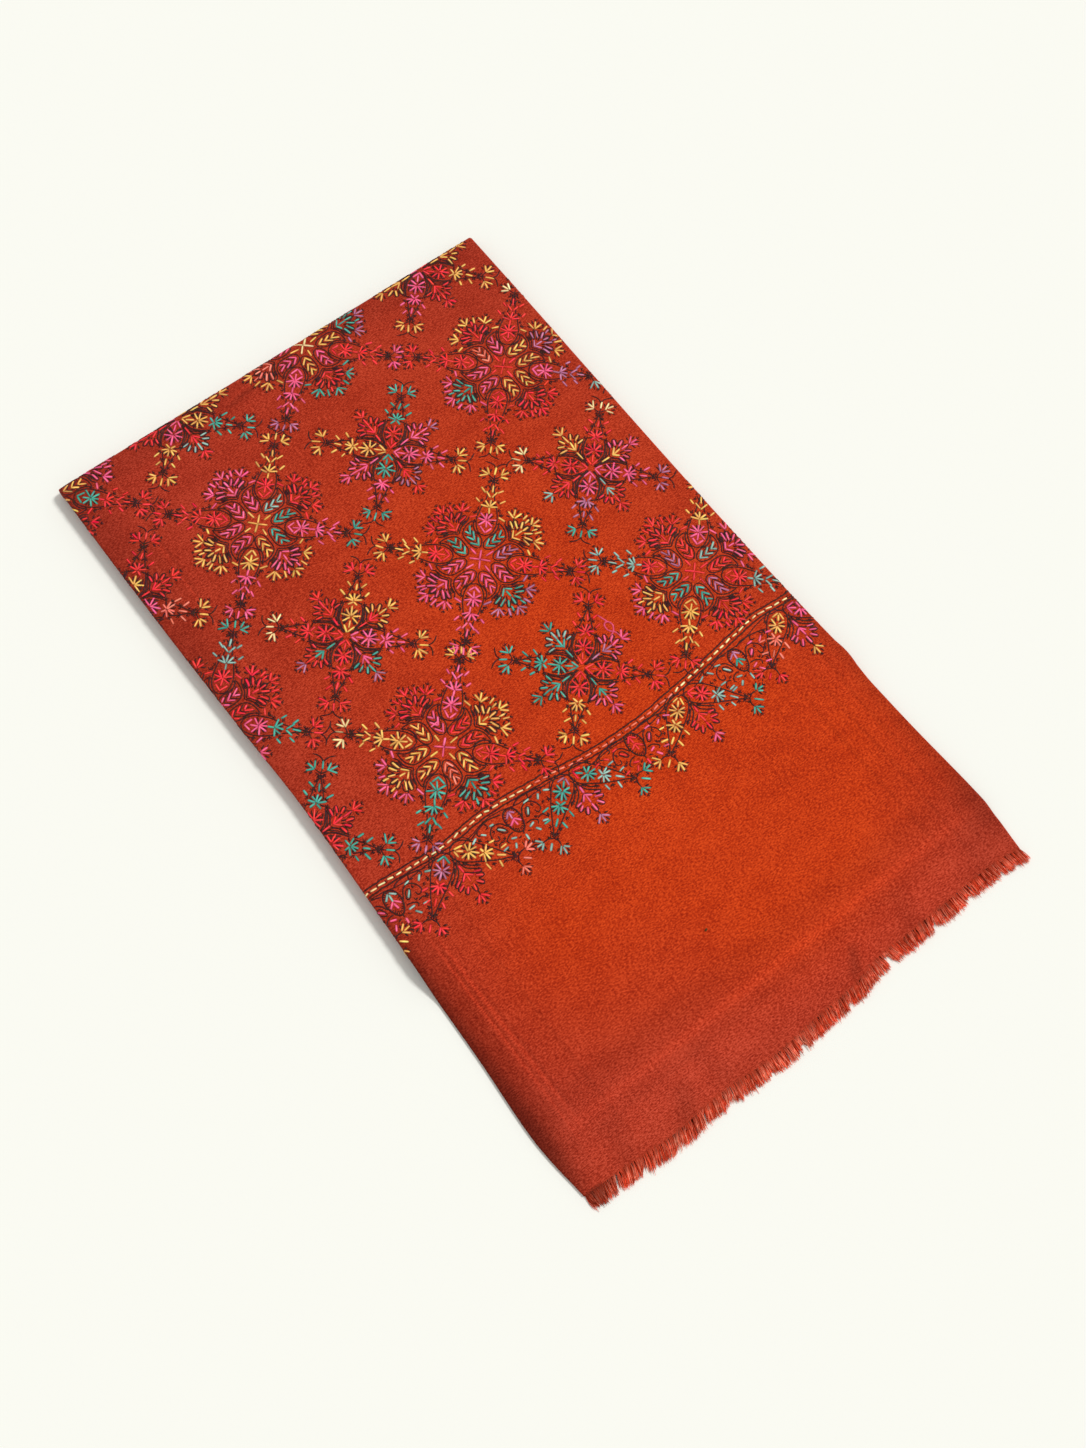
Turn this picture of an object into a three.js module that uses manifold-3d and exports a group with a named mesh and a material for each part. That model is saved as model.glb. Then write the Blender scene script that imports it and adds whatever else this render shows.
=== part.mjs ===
// A fringed pashmina shawl, folded and laid flat, in millimetres with +Z up.
// The cloth is cut 1 m by 2 m. It is folded in three across its width to 333, the strip is folded in
// half so that its two fringed ends meet, and folded once more, with one fringed end left on top.
// The origin is the middle of the footprint, on the surface that the shawl lies on.
// "Along" is a distance from the line of the fringe's tips towards the far fold.
import * as THREE from 'three';
import Module from 'manifold-3d';
import { mergeVertices } from 'three/addons/utils/BufferGeometryUtils.js';

const FAR_FOLD = 571.45; // along, the outermost point of the far fold
const FRONT_REACH = -6.05; // along, the longest fringe tip
const MIDDLE = (FAR_FOLD + FRONT_REACH) / 2; // along, at the origin
const MIDDLE_FOLD = 170; // along, where the lower half of the stack turns back on itself
const UNDER_STARTS = MIDDLE_FOLD + 0.2;
const UNDER_END = 45; // along, the end of the stretch that lies under the top one

const PLY = 1.0; // one thickness of cloth
const SEAM_GAP = 0.3;
const STRETCH = 2 * PLY + SEAM_GAP; // a stretch of the folded strip, which is its face and what is turned under
const STACK = 9.3; // the four stretches at the far fold
const FOLD_RADIUS = STACK / 2;
const FULL_REST = STACK - STRETCH; // height of the top stretch's underside over the full stack
const THIN_REST = 2.4; // the same over the single stretch near the fringe
const TURNED_UNDER_GAP = 6; // between the two edges that are turned under
const LAYER_MARGIN = 0.1; // that the hidden layers stay clear of a plain height
const LAYER_GROOVE = 0.9; // deepest point between two layers' rounded edges
const LAYER_JOINT = 0.1; // half of the flat bottom of that groove

// Where the top stretch rises: on to the stretch below it near the fringe, in from its left edge,
// and on to the full stack.
const RISE_NEAR = { from: 32, to: UNDER_END - 1 };
const RISE_LEFT = { from: 2, to: 15.5 };
const RISE_STACK = { from: 142, to: 171 };
const STACK_STARTS = 169; // along, where the hidden layers no longer reach down to the surface
const CREASE_FADE = { from: 1, to: 8 }; // in from a long edge, where waves and creases begin
const HEM_FADE = { from: 44, to: 10 }; // along, where the hem's wave begins and where it is whole

const CLOTH_COLOUR = 0xa8371d;
const HIDDEN_COLOUR = 0x93301c;
const FRINGE_COLOUR = 0xa53a22;

// The two long edges of the top stretch: distance along, and the left and right edge across.
const LONG_EDGES = [
  { along: 4, left: -166.6, right: 167.6 },
  { along: 30, left: -169.4, right: 170.2 },
  { along: 55, left: -170.6, right: 170.4 },
  { along: 105, left: -168.3, right: 168.6 },
  { along: 155, left: -167.1, right: 167.8 },
  { along: 205, left: -165.4, right: 166.2 },
  { along: 290, left: -163.4, right: 165.6 },
  { along: 355, left: -165.2, right: 166.0 },
  { along: 430, left: -166.8, right: 167.1 },
  { along: 505, left: -167.6, right: 168.2 },
  { along: 572, left: -167.6, right: 168.8 },
];

// How far the hidden layers stay inside those edges. The right edge shows for a few centimetres.
const HIDDEN_INSET = [
  { along: 45, left: 16.5, right: 3.0 },
  { along: 100, left: 15.8, right: 2.0 },
  { along: 145, left: 16.2, right: 0.4 },
  { along: 165, left: 15.8, right: -1.4 },
  { along: 176, left: 12.0, right: -1.2 },
  { along: 196, left: 3.0, right: 1.6 },
  { along: 300, left: 2.2, right: 1.2 },
  { along: 420, left: 2.9, right: 2.0 },
  { along: 566, left: 2.4, right: 1.6 },
];

const UNDER_INSET = [
  { along: 170, left: 3.6, right: 2.2 },
  { along: 280, left: 2.8, right: 1.4 },
  { along: 400, left: 3.4, right: 2.4 },
  { along: 567, left: 1.2, right: 0.8 },
];

// The end of the woven cloth at the fringe, which waves a little.
const HEM = [
  { across: -167, along: 9.2 },
  { across: -135, along: 7.2 },
  { across: -104, along: 4.9 },
  { across: -69, along: 6.4 },
  { across: -34, along: 4.0 },
  { across: 3, along: 5.8 },
  { across: 33, along: 6.9 },
  { across: 52, along: 10.4 },
  { across: 78, along: 10.5 },
  { across: 101, along: 10.7 },
  { across: 136, along: 11.5 },
  { across: 154, along: 10.6 },
  { across: 167, along: 8.4 },
];

// Where the top ply lifts along the hem, and how far back each lift runs.
const HEM_WAVES = [
  { across: -138, halfWidth: 20, height: 0.7, reach: 26 },
  { across: -86, halfWidth: 17, height: 1.1, reach: 30 },
  { across: -17, halfWidth: 20, height: 0.9, reach: 26 },
  { across: 42, halfWidth: 12, height: 1.6, reach: 34 },
  { across: 88, halfWidth: 16, height: 1.2, reach: 28 },
  { across: 134, halfWidth: 18, height: 0.8, reach: 24 },
];

// Long soft creases in the top ply. Each end is a place across and along.
const CREASES = [
  { name: 'left roll', from: [-152, 52], to: [-150, 176], halfWidth: 7, height: 0.8 },
  { name: 'far left', from: [-137, 345], to: [-138, 520], halfWidth: 9, height: 0.4 },
  { name: 'far pinch', from: [-48, 536], to: [-24, 560], halfWidth: 8, height: 0.7 },
];

// Cloth sections along the top stretch. A row is a run of them, evenly spaced.
const TOP_RUNS = [
  { from: 4, to: 33, steps: 4 },
  { from: 33, to: 46, steps: 4 },
  { from: 46, to: 142, steps: 4 },
  { from: 142, to: 172, steps: 6 },
  { from: 172, to: 520, steps: 7 },
  { from: 520, to: 566.8, steps: 3 },
];
const HIDDEN_RUNS = [
  { from: 46.4, to: 142, steps: 4 },
  { from: 142, to: 167, steps: 5 },
  { from: 167, to: 168.5, steps: 1 },
  { from: 168.5, to: 169.9, steps: 1 },
  { from: 169.9, to: 172, steps: 1 },
  { from: 172, to: 566.8, steps: 6 },
];
const UNDER_RUNS = [{ from: 171.5, to: 566.4, steps: 8 }];

const FOLD_STEPS = 8;
const LIP_STEPS = 4;
const NOSE_STEPS = 3;
const GROOVE_TURN = 0.08; // radians, where a layer's rounded edge begins
const FACE_STEPS = 24;
const EDGE_STEPS = [STRETCH / 2, 5.5, 10, 15.5, 21]; // in from the left edge

// A smooth curve through one column of a table.
function read(table, key, column, at) {
  const last = table.length - 1;
  if (at <= table[0][key]) return table[0][column];
  if (at >= table[last][key]) return table[last][column];
  let i = 0;
  while (at > table[i + 1][key]) i += 1;
  const slopeAt = (j) => {
    const before = table[Math.max(j - 1, 0)];
    const after = table[Math.min(j + 1, last)];
    return (after[column] - before[column]) / (after[key] - before[key]);
  };
  const span = table[i + 1][key] - table[i][key];
  const t = (at - table[i][key]) / span;
  const rise = table[i + 1][column] - table[i][column];
  const start = slopeAt(i) * span;
  const end = slopeAt(i + 1) * span;
  const bend = 3 * rise - 2 * start - end;
  const twist = start + end - 2 * rise;
  return table[i][column] + t * (start + t * (bend + t * twist));
}

function ease(from, to, at) {
  const t = THREE.MathUtils.clamp((at - from) / (to - from), 0, 1);
  return t * t * (3 - 2 * t);
}

const leftEdge = (along) => read(LONG_EDGES, 'along', 'left', along);
const rightEdge = (along) => read(LONG_EDGES, 'along', 'right', along);

// Distance along of each section in the runs.
function distances(runs) {
  const found = [runs[0].from];
  for (const run of runs) {
    for (let i = 1; i <= run.steps; i += 1) found.push(run.from + ((run.to - run.from) * i) / run.steps);
  }
  return found;
}

// Height of the top stretch's underside. It lies on the surface at the fringe and down its left edge,
// steps up on the end of the stretch below, and again on the lower half of the stack.
function rest(across, along) {
  const fromLeft = across - leftEdge(along);
  const onLeft = ease(RISE_LEFT.from, RISE_LEFT.to, fromLeft);
  const onUnder = THIN_REST * ease(RISE_NEAR.from, RISE_NEAR.to, along) * onLeft;
  const onStack = ease(RISE_STACK.from, RISE_STACK.to, along);
  return onUnder + (FULL_REST - onUnder) * onStack;
}

// A rounded ridge's height at a distance from its line, which is 0 beyond its half width.
function ridge(distance, halfWidth) {
  const t = Math.min(Math.abs(distance) / halfWidth, 1);
  return (1 - t * t) ** 2;
}

// How far the top ply stands above the plain stretch: the waves at the hem and the long creases.
function relief(across, along) {
  const hem = read(HEM, 'across', 'along', across);
  let height = 0;
  for (const wave of HEM_WAVES) {
    const back = ease(hem + wave.reach, hem, along);
    height += wave.height * ridge(across - wave.across, wave.halfWidth) * back;
  }
  for (const crease of CREASES) {
    const start = new THREE.Vector2(...crease.from);
    const run = new THREE.Vector2(...crease.to).sub(start);
    const offset = new THREE.Vector2(across, along).sub(start);
    const t = offset.dot(run) / run.lengthSq();
    const ends = ease(-0.15, 0.2, t) * ease(1.15, 0.8, t);
    height += crease.height * ridge(offset.cross(run) / run.length(), crease.halfWidth) * ends;
  }
  const fromEdge = Math.min(across - leftEdge(along), rightEdge(along) - across);
  return height * ease(CREASE_FADE.from, CREASE_FADE.to, fromEdge);
}

// The hem's wave, which fades out behind it.
function alongAt(across, along) {
  const plain = TOP_RUNS[0].from;
  const fade = ease(HEM_FADE.from, HEM_FADE.to, along);
  return along + (read(HEM, 'across', 'along', across) - plain) * fade;
}

// A closed wall through sections. A section has an outer and an inner line with as many points each.
function wall(sections) {
  const perLine = sections[0].outer.length;
  const perRing = 2 * perLine;
  const positions = [];
  for (const section of sections) {
    for (const p of section.outer) positions.push(p.x, p.y, p.z);
    for (const p of section.inner.slice().reverse()) positions.push(p.x, p.y, p.z);
  }
  const index = [];
  const quad = (a, b, c, d) => index.push(a, b, c, a, c, d);
  for (let s = 0; s + 1 < sections.length; s += 1) {
    for (let i = 0; i < perRing; i += 1) {
      const next = (i + 1) % perRing;
      quad(s * perRing + i, s * perRing + next, (s + 1) * perRing + next, (s + 1) * perRing + i);
    }
  }
  const end = (sections.length - 1) * perRing;
  for (let i = 0; i + 1 < perLine; i += 1) {
    const opposite = perRing - 1 - i;
    quad(i, opposite, opposite - 1, i + 1);
    quad(end + i, end + i + 1, end + opposite - 1, end + opposite);
  }
  const geometry = new THREE.BufferGeometry();
  geometry.setAttribute('position', new THREE.Float32BufferAttribute(positions, 3));
  geometry.setIndex(index);
  geometry.computeVertexNormals();
  return geometry;
}

// Places across the face between the two rolled edges, close together where the left edge rolls down.
function faceStations(left, right) {
  const found = EDGE_STEPS.map((step) => left + step);
  const first = found[found.length - 1];
  const width = right - STRETCH / 2 - first;
  for (let i = 1; i <= FACE_STEPS; i += 1) found.push(first + (width * i) / FACE_STEPS);
  return found;
}

// The same under the face, for the two edges that are turned under and end at the middle.
function turnedStations(left, right) {
  const middle = (left + right) / 2;
  const half = TURNED_UNDER_GAP / 2;
  const onLeft = [...EDGE_STEPS.map((step) => left + step), (left + middle) / 2, middle - half];
  return { onLeft, onRight: [middle + half, (right + middle) / 2, right - STRETCH / 2] };
}

// The strip's section at a distance along, as points with a place across and a depth below its face.
// It starts at the turned-under edge on the left, goes round both long edges, and ends at the other one.
function stripSection(left, right, inward) {
  const radius = STRETCH / 2;
  const lipRadius = radius - inward;
  const turned = turnedStations(left, right);
  const line = [];
  const add = (across, depth) => line.push({ across, depth });
  const lip = (centre, side, from, to) => {
    for (let i = 1; i < LIP_STEPS; i += 1) {
      const turn = from + ((to - from) * i) / LIP_STEPS;
      add(centre + side * lipRadius * Math.sin(turn), radius - lipRadius * Math.cos(turn));
    }
  };
  for (const place of turned.onLeft.slice().reverse()) add(place, STRETCH - inward);
  lip(left + radius, -1, Math.PI, 0);
  for (const place of faceStations(left, right)) add(place, inward);
  lip(right - radius, 1, 0, Math.PI);
  for (const place of turned.onRight.slice().reverse()) add(place, STRETCH - inward);
  return line;
}

// The top stretch, from the hem over the stack and half way round the far fold, to its underside.
function topPanel() {
  const sections = [];
  const addSection = (along, place) => {
    const left = leftEdge(along);
    const right = rightEdge(along);
    const outer = stripSection(left, right, 0).map(place);
    const inner = stripSection(left, right, PLY).map(place);
    sections.push({ outer, inner });
  };
  for (const along of distances(TOP_RUNS)) {
    addSection(along, (p) => {
      const y = alongAt(p.across, along);
      const facePly = p.depth < STRETCH / 2 ? 1 : 0;
      const height = rest(p.across, y) + relief(p.across, y) * facePly + STRETCH - p.depth;
      return new THREE.Vector3(p.across, y - MIDDLE, height);
    });
  }
  const foldCentre = FAR_FOLD - FOLD_RADIUS;
  for (let i = 1; i <= FOLD_STEPS; i += 1) {
    const turn = (Math.PI * i) / FOLD_STEPS;
    addSection(foldCentre + FOLD_RADIUS * Math.sin(turn), (p) => {
      const radius = FOLD_RADIUS - p.depth;
      const y = foldCentre + radius * Math.sin(turn);
      return new THREE.Vector3(p.across, y - MIDDLE, FOLD_RADIUS + radius * Math.cos(turn));
    });
  }
  return wall(sections);
}

// One section of a solid stack of layers, rounded at each layer's edge, between two heights.
function stackSection(along, left, right, bottom, top, layers) {
  const radius = (top - bottom) / (2 * layers);
  const groove = Math.min(LAYER_GROOVE, radius);
  const upper = [];
  const lower = [];
  const add = (line, across, height) => line.push(new THREE.Vector3(across, along - MIDDLE, height));
  const side = (line, edge, way, centre, from, to) => {
    for (let i = 0; i <= LIP_STEPS; i += 1) {
      const turn = from + ((to - from) * i) / LIP_STEPS;
      const out = radius - radius * Math.sin(turn);
      add(line, edge + way * Math.min(out, groove), centre - radius * Math.cos(turn));
    }
  };
  const middle = (bottom + top) / 2;
  const joint = layers === 2 ? Math.min(LAYER_JOINT, radius / 4) : 0;
  const upperCentre = layers === 2 ? middle + radius : middle;
  const lowerCentre = layers === 2 ? middle - radius : middle;
  const start = layers === 2 ? GROOVE_TURN : Math.PI / 2 + GROOVE_TURN / 2;
  side(upper, left, 1, upperCentre + joint, start, Math.PI);
  add(upper, (left + right) / 2, top + joint);
  side(upper, right, -1, upperCentre + joint, Math.PI, start);
  side(lower, left, 1, lowerCentre - joint, Math.PI - start, 0);
  add(lower, (left + right) / 2, bottom - joint);
  side(lower, right, -1, lowerCentre - joint, 0, Math.PI - start);
  return { outer: upper, inner: lower };
}

// The layers inside the fold: the stretch that ends under the fringe, and the two in the lower half.
function hiddenLayers() {
  const sections = [];
  const add = (along, bottom, top) => {
    const left = leftEdge(along) + read(HIDDEN_INSET, 'along', 'left', along);
    const right = rightEdge(along) - read(HIDDEN_INSET, 'along', 'right', along);
    sections.push(stackSection(along, left, right, bottom + LAYER_MARGIN, top - LAYER_MARGIN, 2));
  };
  const thinTop = THIN_REST - SEAM_GAP;
  for (let i = 0; i < NOSE_STEPS; i += 1) {
    const turn = (Math.PI / 2) * ((i + 0.5) / NOSE_STEPS);
    const half = (thinTop / 2) * Math.sin(turn);
    add(UNDER_END + (thinTop / 2) * (1 - Math.cos(turn)), thinTop / 2 - half, thinTop / 2 + half);
  }
  for (const along of distances(HIDDEN_RUNS)) {
    const top = rest(0, along) - SEAM_GAP;
    add(along, along < STACK_STARTS ? 0 : STRETCH + SEAM_GAP, top);
  }
  const noseRadius = FOLD_RADIUS - STRETCH - SEAM_GAP;
  for (let i = 1; i <= NOSE_STEPS; i += 1) {
    const turn = (Math.PI / 2) * (i / (NOSE_STEPS + 0.5));
    const half = noseRadius * Math.cos(turn);
    add(FAR_FOLD - FOLD_RADIUS + noseRadius * Math.sin(turn), FOLD_RADIUS - half, FOLD_RADIUS + half);
  }
  return wall(sections);
}

// The stretch on the underside, from the middle fold to the seam with the far fold.
function underPanel() {
  const sections = [];
  const add = (along, bottom, top) => {
    const left = leftEdge(along) + read(UNDER_INSET, 'along', 'left', along);
    const right = rightEdge(along) - read(UNDER_INSET, 'along', 'right', along);
    sections.push(stackSection(along, left, right, bottom, top, 1));
  };
  for (let i = 0; i < NOSE_STEPS; i += 1) {
    const turn = (Math.PI / 2) * ((i + 0.5) / NOSE_STEPS);
    const half = (STRETCH / 2) * Math.sin(turn);
    add(UNDER_STARTS + (STRETCH / 2) * (1 - Math.cos(turn)), STRETCH / 2 - half, STRETCH / 2 + half);
  }
  for (const along of distances(UNDER_RUNS)) add(along, 0, STRETCH);
  return wall(sections);
}

// The loose ends of the face and of the edges turned under it. base and tip are heights, girth is a
// lock's thickness, phase shifts its sway, and set is how far its strip stands clear of the hem.
const FRINGES = [
  {
    name: 'fringe_face', onFace: true, locks: 140, length: 9.4,
    base: 1.8, tip: 1.3, girth: 0.6, phase: 0.3, set: 0,
  },
  {
    name: 'fringe_turned', onFace: false, locks: 110, length: 8.6,
    base: 0.5, tip: 0.42, girth: 0.4, phase: 1.9, set: 0.4,
  },
];
const STRIP_DEPTH = 1.6;
const STRIP_MARGIN = 0.05; // that the strip is thicker than a lock, over it and under it

// A lock's width at its root, half way and at its tip, in shares of its fringe's girth.
const LOCK_STATIONS = [
  { part: 0, girth: 1.9 },
  { part: 0.5, girth: 1.6 },
  { part: 1, girth: 0.55 },
];
const LOCK_HEIGHT = 1 / 1.3; // of a lock, in shares of the girth
// How a lock's lean and length sway from one lock to the next: how far, and the turn for each lock.
const SLOW_LEAN = { reach: 1.3, turn: 0.37 };
const QUICK_LEAN = { reach: 0.7, turn: 1.9 };
const LENGTH_SHARE = 0.93;
const QUICK_LENGTH = { reach: 0.05, turn: 2.7 };
const SLOW_LENGTH = { reach: 0.02, turn: 0.9 };

const wasm = await Module();
wasm.setup();

function toSolid(geometry) {
  const plain = geometry.clone();
  plain.deleteAttribute('normal');
  const merged = mergeVertices(plain, 1e-4);
  const vertProperties = merged.attributes.position.array;
  const triVerts = new Uint32Array(merged.index.array);
  return new wasm.Manifold(new wasm.Mesh({ numProp: 3, vertProperties, triVerts }));
}

function toGeometry(solid) {
  const mesh = solid.getMesh();
  const geometry = new THREE.BufferGeometry();
  geometry.setAttribute('position', new THREE.Float32BufferAttribute(mesh.vertProperties, 3));
  geometry.setIndex(Array.from(mesh.triVerts));
  geometry.computeVertexNormals();
  return geometry;
}

// The hem at each station of the face or of the turned edges, as the line that a fringe's strip follows.
function hemLine(fringe) {
  const along = TOP_RUNS[0].from;
  const edges = [leftEdge(along), rightEdge(along)];
  const turned = turnedStations(...edges);
  const stations = fringe.onFace ? faceStations(...edges) : [...turned.onLeft, ...turned.onRight];
  return stations.map((across) => {
    const y = alongAt(across, along);
    const lift = fringe.onFace ? relief(across, y) : 0;
    return new THREE.Vector3(across, y - SEAM_GAP - fringe.set, fringe.base + lift);
  });
}

function onLine(line, across) {
  let i = 0;
  while (i + 2 < line.length && across > line[i + 1].x) i += 1;
  const t = (across - line[i].x) / (line[i + 1].x - line[i].x);
  return line[i].clone().lerp(line[i + 1], t);
}

// The narrow strip at the cloth's edge that the locks are fused into.
function fringeStrip(fringe, line) {
  const half = fringe.girth / 2 + STRIP_MARGIN;
  const sections = line.map(({ x, y, z }) => {
    const near = y - MIDDLE;
    const outer = [new THREE.Vector3(x, near, z + half), new THREE.Vector3(x, near - STRIP_DEPTH, z + half)];
    const inner = [new THREE.Vector3(x, near, z - half), new THREE.Vector3(x, near - STRIP_DEPTH, z - half)];
    return { outer, inner };
  });
  return toSolid(wall(sections));
}

// One lock: a three-sided tapering strand in two lengths, leaning a little to one side.
function lock(fringe, line, across, count) {
  const sway = ({ reach, turn }, phase) => reach * Math.sin(turn * count + phase);
  const lean = sway(SLOW_LEAN, fringe.phase) + sway(QUICK_LEAN, 0);
  const length = fringe.length * (LENGTH_SHARE + sway(QUICK_LENGTH, 0) + sway(SLOW_LENGTH, 0));
  const root = onLine(line, across);
  const halfHeight = (fringe.girth * LOCK_HEIGHT) / 2;
  const rings = LOCK_STATIONS.map(({ part, girth }) => {
    const x = across + lean * part * part;
    const y = root.y - STRIP_DEPTH / 2 - length * part - MIDDLE;
    const z = root.z + (fringe.tip - root.z) * part * (2 - part);
    const half = (fringe.girth * girth) / 2;
    return [
      new THREE.Vector3(x - half, y, z - halfHeight),
      new THREE.Vector3(x + half, y, z - halfHeight),
      new THREE.Vector3(x, y, z + halfHeight),
    ];
  });
  const index = [0, 2, 1, 6, 7, 8];
  for (let ring = 0; ring < 2; ring += 1) {
    for (let i = 0; i < 3; i += 1) {
      const a = 3 * ring + i;
      const b = 3 * ring + ((i + 1) % 3);
      index.push(a, b + 3, a + 3, a, b, b + 3);
    }
  }
  const geometry = new THREE.BufferGeometry();
  const positions = rings.flat().flatMap((p) => [p.x, p.y, p.z]);
  geometry.setAttribute('position', new THREE.Float32BufferAttribute(positions, 3));
  geometry.setIndex(index);
  return toSolid(geometry);
}

function fringeGeometry(fringe) {
  const line = hemLine(fringe);
  const left = line[0].x;
  const width = line[line.length - 1].x - left;
  const pieces = [fringeStrip(fringe, line)];
  for (let i = 0; i < fringe.locks; i += 1) {
    pieces.push(lock(fringe, line, left + (width * (i + 0.5)) / fringe.locks, i));
  }
  return toGeometry(wasm.Manifold.union(pieces));
}

function cloth(colour, roughness) {
  return new THREE.MeshStandardMaterial({ color: colour, roughness, metalness: 0 });
}

function piece(name, geometry, material) {
  const mesh = new THREE.Mesh(geometry, material);
  mesh.name = name;
  return mesh;
}

const shawl = new THREE.Group();
shawl.name = 'folded_shawl';
shawl.add(piece('top_panel', topPanel(), cloth(CLOTH_COLOUR, 0.85)));
shawl.add(piece('under_panel', underPanel(), cloth(CLOTH_COLOUR, 0.85)));
shawl.add(piece('hidden_layers', hiddenLayers(), cloth(HIDDEN_COLOUR, 0.9)));
for (const fringe of FRINGES) {
  shawl.add(piece(fringe.name, fringeGeometry(fringe), cloth(FRINGE_COLOUR, 0.9)));
}

export default shawl;
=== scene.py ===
import math
import random

import bpy
import numpy as np
from mathutils import Matrix, Vector


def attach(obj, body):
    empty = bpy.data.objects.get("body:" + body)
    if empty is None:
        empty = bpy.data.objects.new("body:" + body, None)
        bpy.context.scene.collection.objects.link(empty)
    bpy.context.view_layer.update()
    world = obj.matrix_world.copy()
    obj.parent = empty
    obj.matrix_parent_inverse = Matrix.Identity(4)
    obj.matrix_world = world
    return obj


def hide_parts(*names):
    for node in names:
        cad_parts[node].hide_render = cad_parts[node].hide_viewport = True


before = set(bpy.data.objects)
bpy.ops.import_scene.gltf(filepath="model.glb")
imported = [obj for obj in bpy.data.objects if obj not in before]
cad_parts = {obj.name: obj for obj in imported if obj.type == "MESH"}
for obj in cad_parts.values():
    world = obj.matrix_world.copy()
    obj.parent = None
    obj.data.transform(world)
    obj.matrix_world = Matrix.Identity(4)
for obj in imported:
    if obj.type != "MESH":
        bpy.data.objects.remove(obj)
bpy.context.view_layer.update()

MM = 0.001
rng = random.Random(1299)
noise = np.random.default_rng(1299)

# The folded form. These sizes are the solids' own.
FAR_FOLD = 571.45
FRONT_REACH = -6.05
MIDDLE = (FAR_FOLD + FRONT_REACH) / 2
MIDDLE_FOLD = 170.0
UNDER_END = 45.0
HEM_ALONG = 4.0
STRETCH = 2.3
STACK = 9.3
FULL_REST = STACK - STRETCH
THIN_REST = 2.4
TURNED_UNDER_GAP = 6.0
LIP = STRETCH / 2

# The finer form of the scene.
PLY = 0.55
UNDER_CLEAR = 0.3  # the needlework on the underside lies in this height
FOLD_RADIUS = (STACK - UNDER_CLEAR) / 2
FOLD_CENTRE = FAR_FOLD - STACK / 2
FOLD_TURN = math.pi * FOLD_RADIUS
MAX_UNDER_LIFT = 0.27


def table(columns, *rows):
    """Rows of values, each under the names of the columns."""
    return [dict(zip(columns.split(), row)) for row in rows]


LONG_EDGES = table(
    "along left right",
    (4, -166.6, 167.6), (30, -169.4, 170.2), (55, -170.6, 170.4), (105, -168.3, 168.6), (155, -167.1, 167.8),
    (205, -165.4, 166.2), (290, -163.4, 165.6), (355, -165.2, 166.0), (430, -166.8, 167.1),
    (505, -167.6, 168.2), (572, -167.6, 168.8),
)
HIDDEN_INSET = table(
    "along left right",
    (45, 16.5, 3.0), (100, 15.8, 2.0), (145, 16.2, 0.4), (165, 15.8, -1.4), (176, 12.0, -1.2), (196, 3.0, 1.6),
    (300, 2.2, 1.2), (420, 2.9, 2.0), (566, 2.4, 1.6),
)
UNDER_INSET = table(
    "along left right",
    (170, 3.6, 2.2), (280, 2.8, 1.4), (400, 3.4, 2.4), (567, 1.2, 0.8),
)
HEM = table(
    "across along",
    (-167, 9.2), (-135, 7.2), (-104, 4.9), (-69, 6.4), (-34, 4.0), (3, 5.8), (33, 6.9), (52, 10.4), (78, 10.5),
    (101, 10.7), (136, 11.5), (154, 10.6), (167, 8.4),
)
HEM_WAVES = table(
    "across half_width height reach",
    (-138, 20, 0.7, 26), (-86, 17, 1.1, 30), (-17, 20, 0.9, 26), (42, 12, 1.6, 34), (88, 16, 1.2, 28),
    (134, 18, 0.8, 24),
)
# Creases and soft troughs: the two ends of each, its half width, and its height above the plain face.
CREASES = table(
    "x0 y0 x1 y1 half_width height",
    (-152, 52, -150, 176, 7, 0.8), (-137, 345, -138, 520, 9, 0.4),
    (-48, 536, -24, 560, 8, 0.7), (-150.5, 60, -148.5, 182, 2.2, -0.35),
    (-147, 96, -147.5, 196, 1.8, 0.25), (-139.5, 352, -137, 506, 2.4, -0.22),
    (-124, 24, -125, 150, 4, 0.18), (126, 30, 125, 176, 2.6, -0.16),
    (139.5, 18, 139, 205, 2.2, 0.18), (151, 26, 152, 320, 3.0, -0.16),
    (-41, 559, -23, 562, 2.0, -0.4), (-30, 549, -14, 552, 1.8, 0.25),
    (36, 10, 46, 24, 2.4, -0.9), (45, 9, 53, 22, 2.6, 0.5), (104, 18, 120, 22, 3.0, -0.3),
    (-118, 16, -108, 30, 3.4, -0.35), (-175, 48, 175, 50, 5.5, -0.3),
    (-175, 38, 175, 40, 5.0, 0.5), (-20, 300, 30, 330, 26, 0.25), (60, 90, 120, 150, 34, 0.3),
    (-90, 110, -40, 70, 30, 0.3), (100, 420, 140, 520, 22, 0.25),
)


def column(rows, key):
    return np.array([row[key] for row in rows], float)


def read(rows, key, value, at):
    """A smooth curve through one column of a table."""
    xs = column(rows, key)
    ys = column(rows, value)
    slopes = np.gradient(ys, xs)
    slopes[1:-1] = (ys[2:] - ys[:-2]) / (xs[2:] - xs[:-2])
    at = np.clip(at, xs[0], xs[-1])
    i = np.clip(np.searchsorted(xs, at, side="right") - 1, 0, len(xs) - 2)
    span = xs[i + 1] - xs[i]
    t = (at - xs[i]) / span
    rise = ys[i + 1] - ys[i]
    start = slopes[i] * span
    end = slopes[i + 1] * span
    return ys[i] + t * start + t**2 * (3 * rise - 2 * start - end) + t**3 * (start + end - 2 * rise)


def ease(start, end, at):
    t = np.clip((at - start) / (end - start), 0, 1)
    return t * t * (3 - 2 * t)


def left_edge(along):
    return read(LONG_EDGES, "along", "left", along)


def right_edge(along):
    return read(LONG_EDGES, "along", "right", along)


def ridge(distance, half_width):
    t = np.minimum(np.abs(distance) / half_width, 1)
    return (1 - t * t) ** 2


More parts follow.
